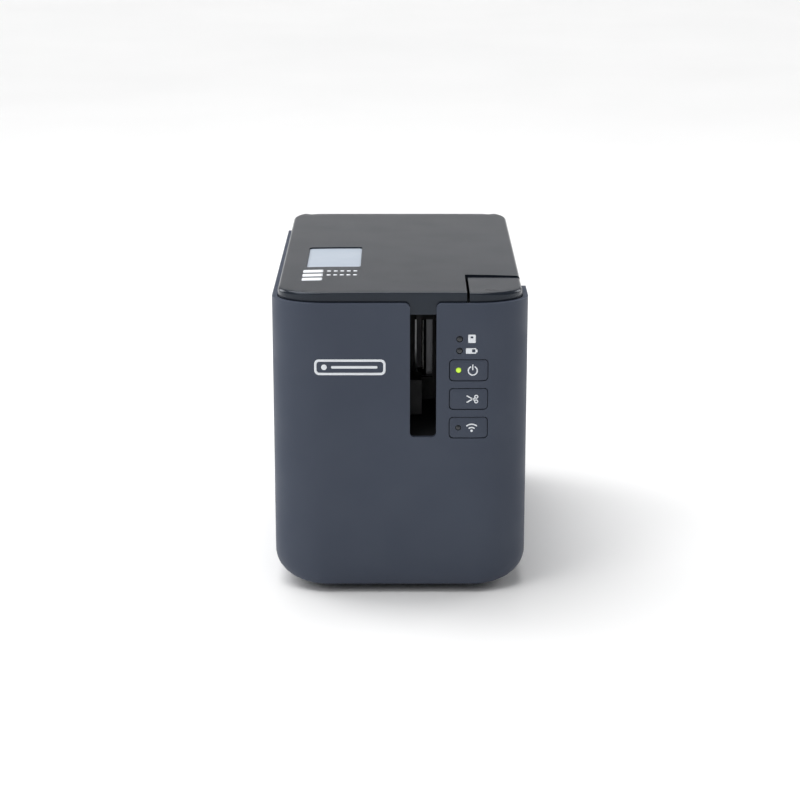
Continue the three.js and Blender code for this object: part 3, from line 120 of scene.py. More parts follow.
FINISHES: dict[Slot, Finish] = {
    Slot.CASE: Finish(
        (0.052, 0.064, 0.094), (0.057, 0.07, 0.101), (0.5, 0.6), grain_size=0.45, grain_depth=0.02,
        patch_size=45, edge_tone=(0.1, 0.12, 0.16), specular=0.3,
    ),
    Slot.LID: Finish(
        (0.010, 0.0135, 0.021), (0.013, 0.017, 0.026), (0.15, 0.2), grain_size=0.8,
        grain_depth=0.002, patch_size=60, edge_tone=(0.05, 0.058, 0.072), specular=0.42,
        tint=(0.82, 0.9, 1.0),
    ),
    Slot.WINDOW: Finish(
        (0.45, 0.51, 0.59), (0.48, 0.54, 0.62), (0.28, 0.38), grain_size=1.2, grain_depth=0.004,
        patch_size=25, edge_tone=(0.6, 0.66, 0.72),
    ),
    Slot.BLACK: Finish(
        (0.008, 0.0085, 0.01), (0.011, 0.0115, 0.013), (0.45, 0.6), grain_size=0.4,
        grain_depth=0.04, edge_tone=(0.03, 0.031, 0.035), specular=0.2,
    ),
    Slot.GEAR: Finish(
        (0.72, 0.68, 0.58), (0.76, 0.73, 0.64), (0.35, 0.48), grain_size=0.5, grain_depth=0.02,
        edge_tone=(0.84, 0.82, 0.76), sheen=0.1,
    ),
    Slot.CASSETTE: Finish(
        (0.33, 0.35, 0.38), (0.36, 0.38, 0.41), (0.38, 0.5), grain_size=0.4, grain_depth=0.03,
        edge_tone=(0.5, 0.52, 0.55),
    ),
    Slot.PAPER: Finish(
        (0.84, 0.84, 0.81), (0.88, 0.88, 0.85), (0.5, 0.65), grain_size=0.15, grain_depth=0.03,
        stretch=(1, 1, 0.1),
    ),
    Slot.RIBBON: Finish(
        (0.008, 0.008, 0.01), (0.014, 0.014, 0.017), (0.22, 0.34), grain_size=0.3, grain_depth=0.02,
        stretch=(0.2, 0.2, 6),
    ),
    Slot.RUBBER: Finish(
        (0.012, 0.012, 0.013), (0.018, 0.018, 0.019), (0.78, 0.92), grain_size=0.3, grain_depth=0.08,
        edge_tone=(0.03, 0.03, 0.031),
    ),
    Slot.STEEL: Finish(
        (0.36, 0.37, 0.39), (0.42, 0.43, 0.45), (0.26, 0.42), grain_size=0.4, grain_depth=0.03,
        metallic=1, stretch=(0.15, 3, 3), edge_tone=(0.62, 0.63, 0.64),
    ),
    Slot.BRASS: Finish(
        (0.62, 0.42, 0.16), (0.7, 0.49, 0.2), (0.24, 0.36), grain_size=0.3, grain_depth=0.02,
        metallic=1, edge_tone=(0.85, 0.66, 0.34),
    ),
    Slot.ALUMINIUM: Finish(
        (0.68, 0.69, 0.7), (0.74, 0.75, 0.76), (0.3, 0.44), grain_size=0.5, grain_depth=0.03,
        metallic=1, stretch=(3, 3, 0.2), edge_tone=(0.86, 0.87, 0.88),
    ),
    Slot.CERAMIC: Finish(
        (0.76, 0.74, 0.68), (0.8, 0.78, 0.73), (0.2, 0.3), grain_size=0.8, grain_depth=0.008, coat=0.4,
    ),
    Slot.BOARD: Finish(
        (0.012, 0.085, 0.035), (0.02, 0.12, 0.05), (0.3, 0.44), grain_size=2.2, grain_depth=0.03,
        patch_size=5, coat=0.3,
    ),
    Slot.LIT_LAMP: Finish(
        (0.36, 0.58, 0.03), (0.42, 0.64, 0.05), (0.15, 0.25), grain_size=0.4, grain_depth=0.01,
        patch_size=2, glow=0.8,
    ),
    Slot.CLEAR_LAMP: Finish(
        (0.016, 0.019, 0.025), (0.022, 0.026, 0.033), (0.14, 0.24), grain_size=0.5, grain_depth=0.01,
        patch_size=3, coat=0.2,
    ),
    Slot.BATTERY: Finish(
        (0.02, 0.023, 0.03), (0.026, 0.029, 0.037), (0.34, 0.48), grain_size=3, grain_depth=0.06,
        coat=0.2,
    ),
}
# Painted shade: the blades' steel is darkened so that they read as dark as the shade deep inside the exit
# slot.
SHADED_BLADE_STEEL = Finish(
    (0.07, 0.072, 0.078), (0.09, 0.092, 0.098), (0.3, 0.42), grain_size=0.3, grain_depth=0.03,
    metallic=1, stretch=(3, 3, 0.15), edge_tone=(0.45, 0.46, 0.48),
)
PRINT = Finish(
    (0.86, 0.9, 0.95), (0.89, 0.92, 0.96), (0.4, 0.5), grain_size=0.12, grain_depth=0.01, patch_size=2,
)
DARK_PRINT = Finish(
    (0.012, 0.013, 0.016), (0.016, 0.017, 0.02), (0.3, 0.4), grain_size=0.2, grain_depth=0.01,
)
EDGE_REACH = 0.35
COAT_ROUGHNESS = 0.12
TABLE = Finish(
    (0.9, 0.9, 0.9), (0.92, 0.92, 0.92), (0.6, 0.7), grain_size=6, grain_depth=0.01, patch_size=400,
)


def paint(name: str, finish: Finish) -> bpy.types.Material:
    """Makes the node material of a finish.

    Args:
        name: Name of the material.
        finish: Colours and surface of the finish.

    Returns:
        The new material, patterned on Object coordinates.
    """
    material = bpy.data.materials.new(name)
    material.use_nodes = True
    nodes = material.node_tree.nodes
    links = material.node_tree.links
    shader = nodes["Principled BSDF"]
    place = nodes.new("ShaderNodeTexCoord")
    mapping = nodes.new("ShaderNodeMapping")
    mapping.inputs["Scale"].default_value = finish.stretch
    links.new(place.outputs["Object"], mapping.inputs["Vector"])

    def noise(size_mm: float, detail: float) -> bpy.types.Node:
        """Noise whose lumps are about size_mm across."""
        node = nodes.new("ShaderNodeTexNoise")
        node.inputs["Scale"].default_value = 1 / (size_mm * MM)
        node.inputs["Detail"].default_value = detail
        links.new(mapping.outputs["Vector"], node.inputs["Vector"])
        return node

    def spread(source: bpy.types.NodeSocket, low: float, high: float) -> bpy.types.NodeSocket:
        """The source's middle range stretched from low to high."""
        node = nodes.new("ShaderNodeMapRange")
        node.inputs["From Min"].default_value = 0.35
        node.inputs["From Max"].default_value = 0.65
        node.inputs["To Min"].default_value = low
        node.inputs["To Max"].default_value = high
        links.new(source, node.inputs["Value"])
        return node.outputs["Result"]

    def mixed(
        factor: bpy.types.NodeSocket,
        first: bpy.types.NodeSocket | tuple[float, float, float],
        second: tuple[float, float, float],
    ) -> bpy.types.NodeSocket:
        """Colour between two, by a factor."""
        node = nodes.new("ShaderNodeMix")
        node.data_type = "RGBA"
        links.new(factor, node.inputs["Factor"])
        if isinstance(first, tuple):
            node.inputs["A"].default_value = (*first, 1)
        else:
            links.new(first, node.inputs["A"])
        node.inputs["B"].default_value = (*second, 1)
        return node.outputs["Result"]

    patches = noise(finish.patch_size, 3)
    colour = mixed(spread(patches.outputs["Fac"], 0, 1), finish.tone, finish.second_tone)
    smears = noise(finish.patch_size / 3, 4)
    gloss = spread(smears.outputs["Fac"], *finish.roughness)
    if finish.edge_tone:
        geometry = nodes.new("ShaderNodeNewGeometry")
        rounded = nodes.new("ShaderNodeBevel")
        rounded.samples = 4
        rounded.inputs["Radius"].default_value = EDGE_REACH * MM
        turned = nodes.new("ShaderNodeVectorMath")
        turned.operation = "DOT_PRODUCT"
        links.new(rounded.outputs["Normal"], turned.inputs[0])
        links.new(geometry.outputs["Normal"], turned.inputs[1])
        edge = nodes.new("ShaderNodeMapRange")
        edge.inputs["From Min"].default_value = 0.995
        edge.inputs["From Max"].default_value = 0.9
        edge.inputs["To Max"].default_value = 0.6
        links.new(turned.outputs["Value"], edge.inputs["Value"])
        broken = nodes.new("ShaderNodeMath")
        broken.operation = "MULTIPLY"
        links.new(edge.outputs["Result"], broken.inputs[0])
        links.new(spread(smears.outputs["Fac"], 0.3, 1), broken.inputs[1])
        colour = mixed(broken.outputs["Value"], colour, finish.edge_tone)
    links.new(colour, shader.inputs["Base Color"])
    links.new(gloss, shader.inputs["Roughness"])
    grain = noise(finish.grain_size, 4)
    bump = nodes.new("ShaderNodeBump")
    bump.inputs["Strength"].default_value = 1
    bump.inputs["Distance"].default_value = finish.grain_depth * MM
    links.new(grain.outputs["Fac"], bump.inputs["Height"])
    links.new(bump.outputs["Normal"], shader.inputs["Normal"])
    shader.inputs["Metallic"].default_value = finish.metallic
    shader.inputs["Coat Weight"].default_value = finish.coat
    shader.inputs["Coat Roughness"].default_value = COAT_ROUGHNESS
    shader.inputs["Sheen Weight"].default_value = finish.sheen
    shader.inputs["Specular IOR Level"].default_value = finish.specular
    shader.inputs["Specular Tint"].default_value = (*finish.tint, 1)
    if finish.glow:
        links.new(colour, shader.inputs["Emission Color"])
        shader.inputs["Emission Strength"].default_value = finish.glow
    return material


# ---- Mesh tools ----------------------------------------------------------------------------------


def arc(centre: tuple[float, float], radius: float, start: float, end: float, count: int = 9) -> Array:
    """Points of a circle's arc.

    Args:
        centre: Centre of the circle.
        radius: Radius.
        start: First angle in degrees.
        end: Last angle in degrees.
        count: Number of points.

    Returns:
        Points: centre plus radius times the cosine and the sine of evenly spaced angles.
    """
    angle = np.radians(np.linspace(start, end, count))
    return np.column_stack([centre[0] + radius * np.cos(angle), centre[1] + radius * np.sin(angle)])


def circle(centre: tuple[float, float], radius: float, count: int = 40) -> Array:
    """Points of a full circle, without a repeated end."""
    return arc(centre, radius, 0, 360, count + 1)[:-1]


def rounded_rect(u0: float, u1: float, v0: float, v1: float, radius: float, count: int = 8) -> Array:
    """Points round a rectangle whose corners are arcs of one radius, counter-clockwise."""
    return np.vstack([
        arc((u1 - radius, v0 + radius), radius, -90, 0, count),
        arc((u1 - radius, v1 - radius), radius, 0, 90, count),
        arc((u0 + radius, v1 - radius), radius, 90, 180, count),
        arc((u0 + radius, v0 + radius), radius, 180, 270, count),
    ])


def thick_line(points: Array, width: float) -> Array:
    """Closed outline of a line with a width: the path moved half the width to each side."""
    along = np.gradient(points, axis=0)
    along /= np.linalg.norm(along, axis=1, keepdims=True)
    across = np.column_stack([-along[:, 1], along[:, 0]]) * width / 2
    return np.vstack([points - across, (points + across)[::-1]])


def densified(loop: Array, step: float) -> Array:
    """A closed loop with points added so that no edge is longer than step.

    The points lie at equal shares of each edge: start plus k over n times the edge.
    """
    ends = np.roll(loop, -1, axis=0)
    length = np.linalg.norm(ends - loop, axis=1)
    keep = length > TINY
    start, run, length = loop[keep], (ends - loop)[keep], length[keep]
    parts = np.maximum(1, np.ceil(length / step)).astype(int)
    edge = np.repeat(np.arange(len(parts)), parts)
    share = (np.arange(len(edge)) - np.repeat(np.cumsum(parts) - parts, parts)) / parts[edge]
    return start[edge] + run[edge] * share[:, None]


def inside(points: Array, loop: Array) -> Array:
    """True for each point inside a loop, by counting the edges that a ray to the right crosses."""
    ends = np.roll(loop, -1, axis=0)
    x, y = points[:, :1], points[:, 1:]
    crosses = (loop[:, 1] > y) != (ends[:, 1] > y)
    rise = ends[:, 1] - loop[:, 1]
    rise = np.where(rise == 0, 1e-12, rise)
    at = loop[:, 0] + (y - loop[:, 1]) * (ends[:, 0] - loop[:, 0]) / rise
    return (np.sum(crosses & (x < at), axis=1) % 2) == 1


def flat_sheet(outer: Array, holes: Sequence[Array], step: float) -> tuple[Array, Array]:
    """Triangles that fill an outline with holes, with inner points on a square grid.

    Args:
        outer: Outline of the sheet.
        holes: Outlines of its holes.
        step: Spacing of the grid and the longest edge of an outline.

    Returns:
        Points in two coordinates, and triangles that run counter-clockwise.
    """
    loops = [densified(loop, step) for loop in (outer, *holes)]
    low, high = loops[0].min(axis=0), loops[0].max(axis=0)
    axes = [np.linspace(a, b, max(2, math.ceil((b - a) / step) + 1)) for a, b in zip(low, high)]
    grid = np.stack(np.meshgrid(*axes), axis=-1).reshape(-1, 2)
    rim = np.vstack(loops)
    free = inside(grid, loops[0])
    for hole in loops[1:]:
        free &= ~inside(grid, hole)
    grid = grid[free]
    away = np.linalg.norm(grid[:, None] - rim[None], axis=2).min(axis=1) > step * 0.45
    points = np.vstack([rim, grid[away]])
    sizes = [len(loop) for loop in loops]
    starts = np.cumsum([0, *sizes[:-1]])
    edges = np.vstack([
        np.column_stack([np.arange(n), np.roll(np.arange(n), -1)]) + start
        for n, start in zip(sizes, starts)
    ])
    made = delaunay_2d_cdt([Vector(p) for p in points], edges.tolist(), [], 0, 1e-7)
    points = np.array([tuple(p) for p in made[0]])
    faces = np.array(made[2])
    middle = points[faces].mean(axis=1)
    keep = inside(middle, loops[0])
    for hole in loops[1:]:
        keep &= ~inside(middle, hole)
    faces = faces[keep]
    a, b, c = (points[faces[:, i]] for i in range(3))
    area = (b - a)[:, 0] * (c - a)[:, 1] - (b - a)[:, 1] * (c - a)[:, 0]
    faces[area < 0] = faces[area < 0][:, ::-1]
    return points, faces[np.abs(area) > TINY]


def grid_faces(rows: int, columns: int, closed: bool = False) -> Array:
    """Quads of a grid whose points are stored row by row.

    Args:
        rows: Number of rows.
        columns: Number of columns.
        closed: Whether the last column joins the first one.

    Returns:
        Four point numbers for each quad.
    """
    row, column = np.meshgrid(np.arange(rows - 1), np.arange(columns - (not closed)), indexing="ij")
    after = (column + 1) % columns
    quads = [row * columns + column, row * columns + after, (row + 1) * columns + after,
             (row + 1) * columns + column]
    return np.stack(quads, axis=-1).reshape(-1, 4)


@dataclass
class Part:
    """Points and faces of one piece that is being put together, in millimetres."""

    points: list[Array] = field(default_factory=list)
    faces: list[list[int]] = field(default_factory=list)

    def add(self, points: Array, faces: Array) -> "Part":
        """Adds points and faces to the piece and returns it."""
        start = sum(len(p) for p in self.points)
        self.points.append(points)
        self.faces.extend((np.asarray(faces) + start).tolist())
        return self

    def mesh(self, name: str, weld: float = 0.0) -> bpy.types.Object:
        """Makes the object of the piece.

        Args:
            name: Name of the object.
            weld: Distance in millimetres within which points are joined, or 0.

        Returns:
            The new object, at the origin.
        """
        mesh = bpy.data.meshes.new(name)
        mesh.from_pydata((np.vstack(self.points) * MM).tolist(), [], self.faces)
        mesh.validate()
        mesh.shade_smooth()
        made = bpy.data.objects.new(name, mesh)
        bpy.context.scene.collection.objects.link(made)
        if weld:
            join = made.modifiers.new("weld", "WELD")
            join.merge_threshold = weld * MM
        return made


def thicken(made: bpy.types.Object, thickness: float, even: bool = True) -> None:
    """Gives a sheet a wall on the side away from its normals, of one thickness if even."""
    wall = made.modifiers.new("wall", "SOLIDIFY")
    wall.thickness = thickness * MM
    wall.offset = -1
    wall.use_even_offset = even


def soften(made: bpy.types.Object, width: float, segments: int = 2) -> None:
    """Rounds the sharp edges of a piece and keeps its flat faces flat."""
    edge = made.modifiers.new("edge", "BEVEL")
    edge.width = width * MM
    edge.segments = segments
    edge.limit_method = "ANGLE"
    edge.angle_limit = math.radians(50)
    edge.harden_normals = True


def dress(made: bpy.types.Object, body: str, material: bpy.types.Material) -> bpy.types.Object:
    """Gives a piece its finish and the CAD body that it moves with.

    Args:
        made: The piece.
        body: Name of the CAD body.
        material: Material of the finish.

    Returns:
        The same piece.
    """
    made.data.materials.append(material)
    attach(made, body)
    log.info("piece %s on %s, %d faces before its modifiers", made.name, body, len(made.data.polygons))
    return made


@dataclass
class Palette:
    """Materials of the record's slots, of the printed signs and of the blades, whose darkened steel is
    painted shade of the exit slot.
    """

    by_slot: dict[Slot, bpy.types.Material] = field(default_factory=dict)
    print_white: bpy.types.Material | None = None
    print_dark: bpy.types.Material | None = None
    blade: bpy.types.Material | None = None

    def build(self) -> "Palette":
        """Makes every material and returns the palette."""
        self.by_slot = {slot: paint(slot.value, FINISHES[slot]) for slot in Slot}
        self.print_white = paint("white_print", PRINT)
        self.print_dark = paint("dark_print", DARK_PRINT)
        self.blade = paint("shaded_blade_steel", SHADED_BLADE_STEEL)
        return self

    def dress(self, made: bpy.types.Object, slot: Slot, body: str) -> None:
        """Gives a piece the finish of its slot and the CAD body that it moves with."""
        dress(made, body, self.by_slot[slot])

    def dress_frame(self) -> None:
        """Gives each CAD node the finish of its slot in the record, and the blades the darkened steel that
        paints the slot's shade.
        """
        for part in frame["record"]["subparts"]:
            node = frame["nodes"][part["node"]]
            material = self.by_slot[Slot(part["material_slot"])]
            # The blades wear darkened steel: painted shade for the inside of the exit slot.
            if part["node"] in ("fixed_blade", "moving_blade"):
                material = self.blade
            for holder in node.material_slots:
                holder.material = material
            log.info("frame node %s wears %s", part["node"], part["material_slot"])


# ---- Outline of the case -------------------------------------------------------------------------


@dataclass(frozen=True)
class Outline:
    """Plan outline of the case and its rounded lower edges."""

    half_width: float = 59
    half_depth: float = 96
    corner_wide: float = 25
    corner_deep: float = 18
    rear_corner: float = 18
    bottom: float = 3.3
    side_radius: float = 13
    end_radius: float = 3

    def plan(self, share: Array, inset: Array | float) -> Array:
        """Right half of the outline.

        Args:
            share: 0 to 5: the straight front, the front corner, the side, the rear corner and the
                straight rear, each one unit long.
            inset: Distance that the outline is moved in by.

        Returns:
            X and Y. Corners are quarter ellipses and quarter circles whose axes shrink by the inset.
        """
        wide, deep = self.corner_wide, self.corner_deep
        back = self.rear_corner
        x_front, x_rear = self.half_width - wide, self.half_width - back
        y_front, y_rear = -self.half_depth + deep, self.half_depth - back
        part = np.clip(np.floor(share), 0, 4)
        t = share - part
        turn = t * np.pi / 2
        inset = np.broadcast_to(inset, share.shape)
        x = np.select(
            [part == 0, part == 1, part == 2, part == 3],
            [t * x_front, x_front + (wide - inset) * np.sin(turn), self.half_width - inset,
             x_rear + (back - inset) * np.cos(turn)],
            (1 - t) * x_rear,
        )
        y = np.select(
            [part == 0, part == 1, part == 2, part == 3],
            [-self.half_depth + inset, y_front - (deep - inset) * np.cos(turn),
             y_front + t * (y_rear - y_front), y_rear + (back - inset) * np.sin(turn)],
            self.half_depth - inset,
        )
        return np.column_stack([x, y])

    def table(self) -> tuple[Array, Array, Array]:
        """Shares, the distance along the outline at each, and the outline's points there."""
        share = np.linspace(0, 5, 4001)
        points = self.plan(share, 0.0)
        run = np.concatenate([[0], np.cumsum(np.linalg.norm(np.diff(points, axis=0), axis=1))])
        return share, run, points

    @property
    def half_run(self) -> float:
        """Distance along the outline from the middle of the front to the middle of the rear."""
        return float(self.table()[1][-1])

    def run_at_side(self, y: float) -> float:
        """Distance along the outline to a place on the side."""
        _, run, points = self.table()
        front_half = run < self.half_run * 0.75
        return float(np.interp(y, points[front_half, 1], run[front_half]))

    def run_at_rear(self, x: float) -> float:
        """Distance along the outline to a place on the rear, by its distance from the middle."""
        return self.half_run - x

    def at(self, along: Array, inset: Array | float = 0.0) -> Array:
        """Points of the whole outline by the signed distance from the middle of the front."""
        share, run, _ = self.table()
        points = self.plan(np.interp(np.abs(along), run, share), inset)
        points[:, 0] *= np.where(along < 0, -1, 1)
        return points

    def wall(self, flat: Array, inset: float = 0.0) -> Array:
        """Wraps flat points round the case.

        Args:
            flat: Distance along the outline, and height. Below the side's round edge the height goes
                on as the distance along that quarter circle and then along the floor.
            inset: Distance below the outer surface.

        Returns:
            Points in space. The side's inset is radius times one minus cosine, its height is bottom
            plus radius times one minus sine, and the ends use their own smaller radius.
        """
        along, height = flat[:, 0], flat[:, 1]
        radius, start = self.side_radius - inset, self.bottom + self.side_radius
        below = np.maximum(0, start - height)
        turn = np.minimum(below / self.side_radius, np.pi / 2)
        floor = np.maximum(0, below - self.side_radius * np.pi / 2)
        z = np.where(below > 0, start - radius * np.sin(turn), height)
        side_in = radius * (1 - np.cos(turn)) + floor
        drop = np.clip(self.bottom + self.end_radius - z, 0, self.end_radius - inset)
        round_in = self.end_radius - inset
        end_in = round_in - np.sqrt(np.maximum(0, round_in**2 - drop**2))
        points = self.at(along, inset)
        x, y = points[:, 0], points[:, 1]
        pivot = np.where(y < 0, self.half_width - self.corner_wide, self.half_width - self.rear_corner)
        reach = self.half_width - inset - pivot
        beyond = np.maximum(0, np.abs(x) - pivot)
        narrow = beyond * (1 - np.minimum(side_in, reach) / reach)
        x = np.sign(x) * (np.minimum(np.abs(x), pivot) + narrow)
        y = y - np.sign(y) * end_in * np.clip((np.abs(y) - 60) / 15, 0, 1)
        return np.column_stack([x, y, z])


OUTLINE = Outline()
FRONT_SKIN = 0.06
PRINT_SKIN = 0.015
PRINT_THICK = 0.04
FRONT_SEAM = -57.8
SEAM = 0.15
RIM = 139.0
LOW_RIM = 130.7


@dataclass
class CaseCovers:
    """The four covers of the case, wrapped round the outline from flat sheets with holes."""

    palette: Palette
    wall: float = 2.4
    edge: float = 0.35
    step: float = 3.0
    floor_reach: float = 4.6
    slot_centre: float = 10.55
    slot_width: float = 12.1
    slot_bottom: float = 76.1
    slot_radius: float = 2.0
    lip_radius: float = 2.3
    button_holes: tuple[float, ...] = (107.9, 94.35, 80.65)
    lamp_holes: tuple[float, ...] = (122.6, 117.1)
    button_centre: float = 31.4
    hole_width: float = 18.1
    hole_height: float = 10.4
    hole_radius: float = 1.95
    lamp_x: float = 27.1
    lamp_radius: float = 1.55

    @property
    def lowest(self) -> float:
        """Flat height at which the covers end on the floor."""
        radius = OUTLINE.side_radius
        return OUTLINE.bottom + radius - radius * math.pi / 2 - self.floor_reach

    def build(self) -> None:
        """Makes the four covers."""
        self.front()
        self.side("left_side_cover", -1)
        self.side("right_side_cover", 1)
        self.rear()

    def finish(self, part: Part, name: str, node: str) -> None:
        """Gives a wrapped sheet its wall, edges and finish, in place of a CAD node."""
        made = part.mesh(name, weld=0.02)
        thicken(made, self.wall)
        soften(made, self.edge)
        self.palette.dress(made, Slot.CASE, "case")
        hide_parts(node)

    def front(self) -> None:
        """Front cover: the wrapped front with the slot, button and lamp holes, and its floor."""
        end = OUTLINE.run_at_side(FRONT_SEAM - SEAM)
        left = self.slot_centre - self.slot_width / 2
        right = self.slot_centre + self.slot_width / 2
        r, lip = self.slot_radius, self.lip_radius
        outer = np.vstack([
            [[-end, self.lowest], [end, self.lowest], [end, RIM]],
            arc((right + lip, RIM - lip), lip, 90, 180),
            arc((right - r, self.slot_bottom + r), r, 0, -90),
            arc((left + r, self.slot_bottom + r), r, -90, -180),
            arc((left - lip, RIM - lip), lip, 0, 90),
            [[-end, RIM]],
        ])
        holes = [
            rounded_rect(
                self.button_centre - self.hole_width / 2, self.button_centre + self.hole_width / 2,
                z - self.hole_height / 2, z + self.hole_height / 2, self.hole_radius,
            )
            for z in self.button_holes
        ]
        holes += [circle((self.lamp_x, z), self.lamp_radius, 24) for z in self.lamp_holes]
        points, faces = flat_sheet(outer, holes, self.step)
        part = Part().add(OUTLINE.wall(points, FRONT_SKIN), faces)
        run = np.linspace(-end, end, math.ceil(2 * end / self.step) + 1)
        edge = OUTLINE.wall(np.column_stack([run, np.full_like(run, self.lowest)]), FRONT_SKIN)
        floor, triangles = flat_sheet(edge[:, :2], [], 6.0)
        height = np.full(len(floor), edge[:, 2].mean())
        part.add(np.column_stack([floor, height]), triangles[:, ::-1])
        self.finish(part, "front_cover_shell", "front_cover")

    def side(self, node: str, side: int) -> None:
        """One side cover, with its lowered rim.

        Args:
            node: CAD node that it stands for.
            side: -1 for left or 1 for right.
        """
        start = OUTLINE.run_at_side(FRONT_SEAM + SEAM)
        end = OUTLINE.run_at_rear(41.15)
        outer = [[start, self.lowest], [end, self.lowest], [end, LOW_RIM]]
        if side < 0:
            notch = OUTLINE.run_at_side(78)
            outer += [[notch + 1, LOW_RIM], [notch + 1, RIM], [start, RIM]]
        else:
            outer += [[start, LOW_RIM]]
        points, faces = flat_sheet(np.array(outer), [], self.step)
        points[:, 0] *= side
        faces = faces if side > 0 else faces[:, ::-1]
        part = Part().add(OUTLINE.wall(points, FRONT_SKIN), faces)
        self.finish(part, f"{node}_shell", node)

    def rear(self) -> None:
        """Rear panel with five cooling slots and two socket holes."""
        x, bottom = 40.85, 3.36
        slots = [rounded_rect(-24, 24, z, z + 2, 0.9, 5) for z in (87, 94, 101, 108, 115)]
        sockets = [
            rounded_rect(-21.35, -8.65, 31.9, 43.5, 0.3, 3), rounded_rect(5.2, 14.8, 31.9, 43.5, 0.3, 3),
        ]
        outer = np.array([[-x, bottom], [x, bottom], [x, LOW_RIM], [-x, LOW_RIM]])
        points, faces = flat_sheet(outer, [*slots, *sockets], self.step)
        drop = np.clip(OUTLINE.bottom + OUTLINE.end_radius - points[:, 1], 0, 2.9)
        depth = OUTLINE.half_depth - FRONT_SKIN - (3 - np.sqrt(9 - drop**2))
        shell = np.column_stack([points[:, 0], depth, points[:, 1]])
        self.finish(Part().add(shell, faces[:, ::-1]), "rear_panel_shell", "rear_panel")


# ---- Lid -----------------------------------------------------------------------------------------


@dataclass
class Lid:
    """Lift-up lid: a band with a soft top edge, a top plate, the window, the marks and hinge lugs."""

    palette: Palette
    inset: float = 2.8
    top: float = 145.96
    front_top: float = 143.6
    crown: float = 0.7
    crisp: float = 0.5
    soft: float = 1.5
    wall: float = 2.2
    edge: float = 0.3
    step: float = 2.5
    hinge_y: float = 85.7
    hinge_z: float = 138.5
    barrel: float = 7.5
    towers: tuple[float, float] = (35.6, 41.6)
    tower_top: float = 143.2
    high_rim_ends: tuple[float, float] = (79.0, -58.0)
    high_skirt: float = 133.4
    low_skirt: float = 131.0
    notch_x: float = 30.35
    notch_y: float = -57.35
    recess: float = 0.7
    window: tuple[float, float, float, float] = (-44.7, -18.7, -41.0, 2.3)
    window_radius: float = 1.5

    def surface(self, plan: Array) -> Array:
        """Height of the top at plan places.

        It rises from the front edge to the hinge as a quarter of a sine wave blended with a straight
        slope, and falls off to each side with the fourth power of the distance from the middle.
        """
        front = -OUTLINE.half_depth + self.inset
        share = np.clip((plan[:, 1] - front) / (self.hinge_y - front), 0, 1)
        rise = 0.7 * share + 0.3 * np.sin(share * np.pi / 2)
        side = (np.abs(plan[:, 0]) / (OUTLINE.half_width - self.inset)) ** 4
        return self.front_top + (self.top - self.front_top) * rise - self.crown * side

    def round_back(self, points: Array) -> Array:
        """Pulls what lies behind the hinge onto the barrel.

        Behind the hinge's axis, a point further from it than the barrel's radius moves along its
        ray from the axis to that radius.
        """
        y, z = points[:, 1] - self.hinge_y, points[:, 2] - self.hinge_z
        reach = np.hypot(np.maximum(y, 1e-9), z)
        scale = np.where((y > 0) & (reach > self.barrel), self.barrel / reach, 1)
        return np.column_stack([
            points[:, 0], self.hinge_y + np.where(y > 0, y * scale, y), self.hinge_z + z * scale,
        ])

    def band(self, along: Array, bottom: Array) -> Array:
        """Rows of the band from the top plate's edge down to the skirt.

        Args:
            along: Signed distances along the outline.
            bottom: Height of the skirt's lower edge at each.

        Returns:
            Rows by columns by 3. On the rounded edge the inset is radius times one minus sine and
            the height is below the top by radius times one minus cosine, for angles from 0 to 90
            degrees; below it the wall is upright. The radius grows from crisp at the front to soft at
            the sides.
        """
        across = np.clip((np.abs(OUTLINE.at(along)[:, 0]) - 30) / 25, 0, 1)
        radius = self.crisp + (self.soft - self.crisp) * across**2 * (3 - 2 * across)
        rows = []
        for turn in np.radians(np.linspace(0, 90, 9)):
            plan = OUTLINE.at(along, self.inset + radius * (1 - math.sin(turn)))
            rows.append(np.column_stack([plan, self.surface(plan) - radius * (1 - math.cos(turn))]))
        plan, shoulder = rows[-1][:, :2], rows[-1][:, 2]
        rows += [
            np.column_stack([plan, shoulder + (bottom - shoulder) * share])
            for share in np.linspace(0.2, 1, 5)
        ]
        return np.stack(rows)

    def capped(self, along: Array, bottom: Array, corner: Array, holes: Sequence[Array]) -> Part:
        """Band and top plate as one sheet.

        Args:
            along: Signed distances along the outline, in the order of the band.
            bottom: Height of the lower edge at each.
            corner: Plan points that close the top plate from the band's end to its start.
            holes: Plan outlines of the plate's holes.

        Returns:
            The part, with its faces pointing out.
        """
        rows = self.band(along, bottom)
        count, columns = rows.shape[:2]
        part = Part().add(self.round_back(rows.reshape(-1, 3)), grid_faces(count, columns)[:, ::-1])
        plate = np.vstack([rows[0, :, :2], corner])
        points, faces = flat_sheet(plate, holes, 1.5 * self.step)
        return part.add(self.round_back(np.column_stack([points, self.surface(points)])), faces)

    def wrap(self, start: float, end: float) -> Array:
        """Signed distances along the outline for a band that runs on past the middle of the rear."""
        half = OUTLINE.half_run
        run = np.linspace(start, end, math.ceil((end - start) / self.step) + 1)
        edges = half + np.array([-1, -1, 1, 1]) * np.array([*self.towers, *self.towers])
        far = np.abs(run[:, None] - edges).min(axis=1) > self.step / 3
        run = np.sort(np.concatenate([run[far], edges]))
        return (run + half) % (2 * half) - half

    def notched(self, part: Part) -> Part:
        """Takes the rear wall away where the hinge towers stand, and returns the part.

        A face goes if its middle lies behind the hinge, below the top and between the towers' sides.
        """
        points = np.vstack(part.points)
        middle = np.array([points[face].mean(axis=0) for face in part.faces])
        across = np.abs(middle[:, 0])
        gone = (across > self.towers[0]) & (across < self.towers[1]) & (middle[:, 2] < self.tower_top)
        gone &= middle[:, 1] > self.hinge_y + 3
        return Part([points], [face for face, out in zip(part.faces, gone) if not out])

